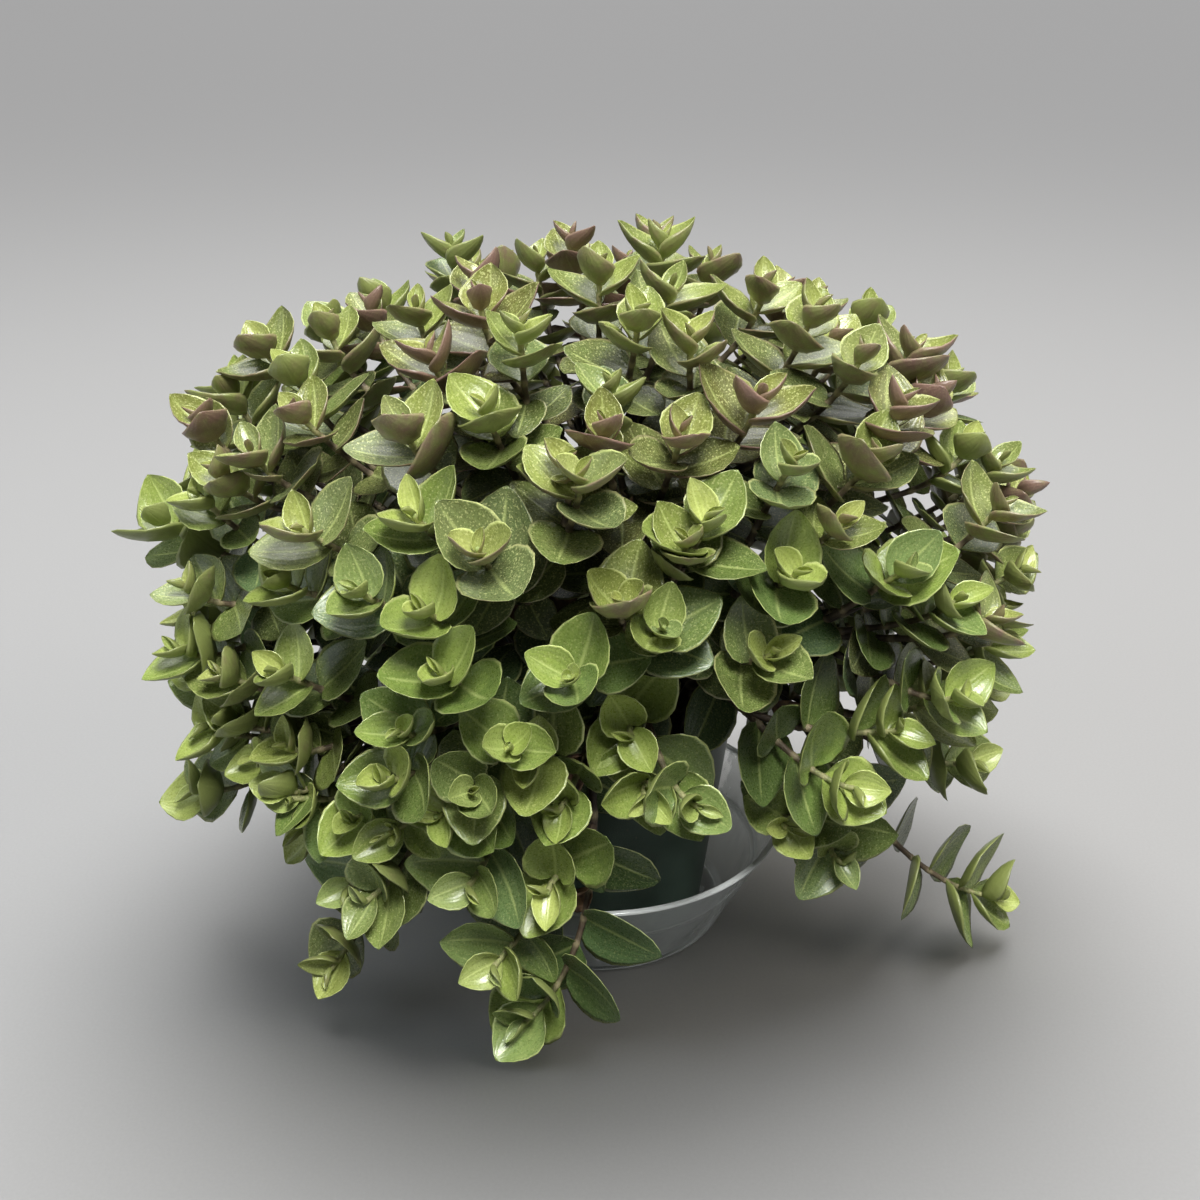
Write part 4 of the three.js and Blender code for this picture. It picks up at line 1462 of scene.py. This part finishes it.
@dataclass
class Plant:
    """The whole plant: shoots, their stems and their leaves, a pair of pieces for each stem from the soil."""

    mound: Mound = field(default_factory=Mound)
    trails: Trails = field(default_factory=Trails)
    habit: LeafHabit = field(default_factory=LeafHabit)
    form: LeafForm = field(default_factory=LeafForm)
    stem_form: StemForm = field(default_factory=StemForm)

    def build(self, solids: list[tuple[Array, list[Array]]]) -> None:
        """Makes the pieces of every stem.

        Args:
            solids: surfaces that leaves keep clear of.
        """
        stems = self.mound.stems_of_shoots() + self.trails.stems()
        Router().route(stems)
        shoots = [(number, shoot) for number, stem in enumerate(stems) for shoot in stem]
        grown = [self.habit.along(shoot) for _, shoot in shoots]
        tubes, stem_trees, lines = [Surface() for _ in stems], [], []
        for (number, shoot), (_, back) in zip(shoots, grown):
            single = Surface()
            self.stem_form.add(single, shoot, back)
            self.stem_form.add(tubes[number], shoot, back)
            faces = [face for part in single.faces for face in part.tolist()]
            stem_trees.append(BVHTree.FromPolygons(single.points[0].tolist(), faces))
            lines.append(shoot.path.line(4.0))
        leaves = Leaves.joined([part for part, _ in grown])
        order = np.concatenate([np.arange(len(back)) for _, back in grown])
        owner = np.repeat(np.arange(len(shoots)), [len(back) for _, back in grown])
        trees = [BVHTree.FromPolygons(points.tolist(), [f for part in faces for f in part.tolist()])
                 for points, faces in solids]
        leaves, kept = Thicket(self.form).place(leaves, order, owner, lines, stem_trees, trees)
        owner = owner[kept]
        node_of = np.array([number for number, _ in shoots])[owner]
        leaf_material, stem_material = LeafFinish().material(), StemFinish().material()
        for number, tube in enumerate(tubes):
            node = f"leafy_stem_{number + 1:02d}"
            piece = self.leaf_piece(leaves.pick(node_of == number), f"leaves_{number + 1:02d}", leaf_material)
            stem = tube.piece(f"stem_{number + 1:02d}", stem_material)
            for made in (piece, stem):
                dress(made, node)

    def leaf_piece(self, leaves: Leaves, name: str, material: bpy.types.Material) -> bpy.types.Object:
        """One mesh of several leaves.

        Args:
            leaves: the leaves.
            name: the object's name.
            material: its finish.
        Returns:
            The object, with uv along and across each blade, and its values on its faces.
        """
        points, faces, uv, under = self.form.closed(leaves)
        count, size = points.shape[:2]
        offsets = size * np.arange(count)[:, None, None]
        spread_faces = [(part[None] + offsets).reshape(-1, part.shape[1]) for part in faces]
        sizes = [len(part) for part in faces]
        splits = np.split(under, [sizes[0]])
        values = {"under": np.concatenate([np.tile(split, count) for split in splits])}
        for key in ("age", "tint", "bronze_and_shade", "dry"):
            values[key] = np.concatenate([np.repeat(getattr(leaves, key), n) for n in sizes])
        surface = Surface()
        surface.add(points.reshape(-1, 3), spread_faces, np.tile(uv, (count, 1)), values)
        return surface.piece(name, material)


@dataclass(frozen=True)
class Studio:
    """Floor, lights and camera, with a pale wall that only the camera sees. Lengths are in metres."""

    floor_size: float = 30.0
    camera: tuple = (0.0, -0.4542, 0.3276)
    pitch: float = 24.4
    lens: float = 43.5
    shift: float = 0.0025
    sky: tuple = (0.95, 0.96, 1.0)
    sky_strength: float = 0.08
    wall: tuple = (0.4, 0.4, 0.41)
    sun: tuple = (0.05, 0.38, 1.0)
    sun_strength: float = 2.08
    sun_angle: float = 60.0
    floor_dark: tuple = (0.515, 0.512, 0.51)
    floor_light: tuple = (0.565, 0.562, 0.56)
    aim: tuple = (0.0, 0.0, 0.1)

    def build(self) -> None:
        """Makes the floor, the lights and the camera."""
        net = Net("studio_floor")
        soft = net.noise(net.place(), 900, 2)
        colour = net.mix(soft, self.floor_dark, self.floor_light)
        material = net.principled({"Base Color": colour, "Roughness": 0.8})
        half = self.floor_size / 2
        corners = [(-half, -half, 0), (half, -half, 0), (half, half, 0), (-half, half, 0)]
        mesh = bpy.data.meshes.new("floor")
        mesh.from_pydata(corners, [], [(0, 1, 2, 3)])
        mesh.materials.append(material)
        floor = linked("floor", mesh)
        floor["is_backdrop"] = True
        world = bpy.data.worlds.new("sky")
        world.use_nodes = True
        tree = world.node_tree
        light = tree.nodes["Background"]
        light.inputs["Color"].default_value = (*self.sky, 1)
        light.inputs["Strength"].default_value = self.sky_strength
        wall = tree.nodes.new("ShaderNodeBackground")
        wall.inputs["Color"].default_value = (*self.wall, 1)
        ray, mix = tree.nodes.new("ShaderNodeLightPath"), tree.nodes.new("ShaderNodeMixShader")
        tree.links.new(ray.outputs["Is Camera Ray"], mix.inputs[0])
        tree.links.new(light.outputs[0], mix.inputs[1])
        tree.links.new(wall.outputs[0], mix.inputs[2])
        tree.links.new(mix.outputs[0], tree.nodes["World Output"].inputs["Surface"])
        bpy.context.scene.world = world
        data = bpy.data.lights.new("soft_sun", "SUN")
        data.energy, data.angle = self.sun_strength, math.radians(self.sun_angle)
        linked("soft_sun", data).rotation_euler = Vector(self.sun).to_track_quat("Z", "Y").to_euler()
        self.lamp("back_box", (-0.1, 0.45, 1.4), 0.9, 8, (1.0, 1.0, 0.98))
        front = self.lamp("front_box", (0.1, -0.6, 1.1), 0.4, 21, (1.0, 1.0, 0.97))
        lit = bpy.data.collections.new("lit_by_front_box")
        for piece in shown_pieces():
            lit.objects.link(piece)
        front.light_linking.receiver_collection = lit
        self.lamp("cool_fill", (-1.2, -0.4, 0.7), 0.8, 2.5, (0.84, 0.92, 1.0))
        self.lamp("warm_fill", (1.2, -0.2, 0.9), 0.8, 3.5, (1.0, 0.93, 0.84))
        data = bpy.data.cameras.new("camera")
        data.sensor_width, data.lens, data.shift_x = 36, self.lens, self.shift
        data.clip_end = 100
        camera = linked("camera", data)
        camera.location = self.camera
        camera.rotation_euler = (math.radians(90 - self.pitch), 0, 0)
        bpy.context.scene.camera = camera
        bpy.context.scene.view_settings.view_transform = "Standard"

    def lamp(self, name: str, place: tuple, size: float, power: float, colour: tuple) -> bpy.types.Object:
        """A square area light that points at the plant."""
        data = bpy.data.lights.new(name, "AREA")
        data.size, data.energy, data.color = size, power, colour
        lamp = linked(name, data)
        lamp.location = place
        lamp.rotation_euler = (Vector(self.aim) - Vector(place)).to_track_quat("-Z", "Y").to_euler()
        return lamp


def main() -> None:
    """Builds the pot, the saucer, the soil, the plant and the studio."""
    logging.basicConfig(level=logging.INFO, format="%(message)s")
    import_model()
    pot, saucer, soil = Pot(), Saucer(), Soil()
    pot.build()
    saucer.build()
    soil.build()
    Plant().build([pot.shell(), saucer.shell(), soil.shell()])
    Studio().build()
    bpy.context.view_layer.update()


if __name__ == "__main__":
    main()
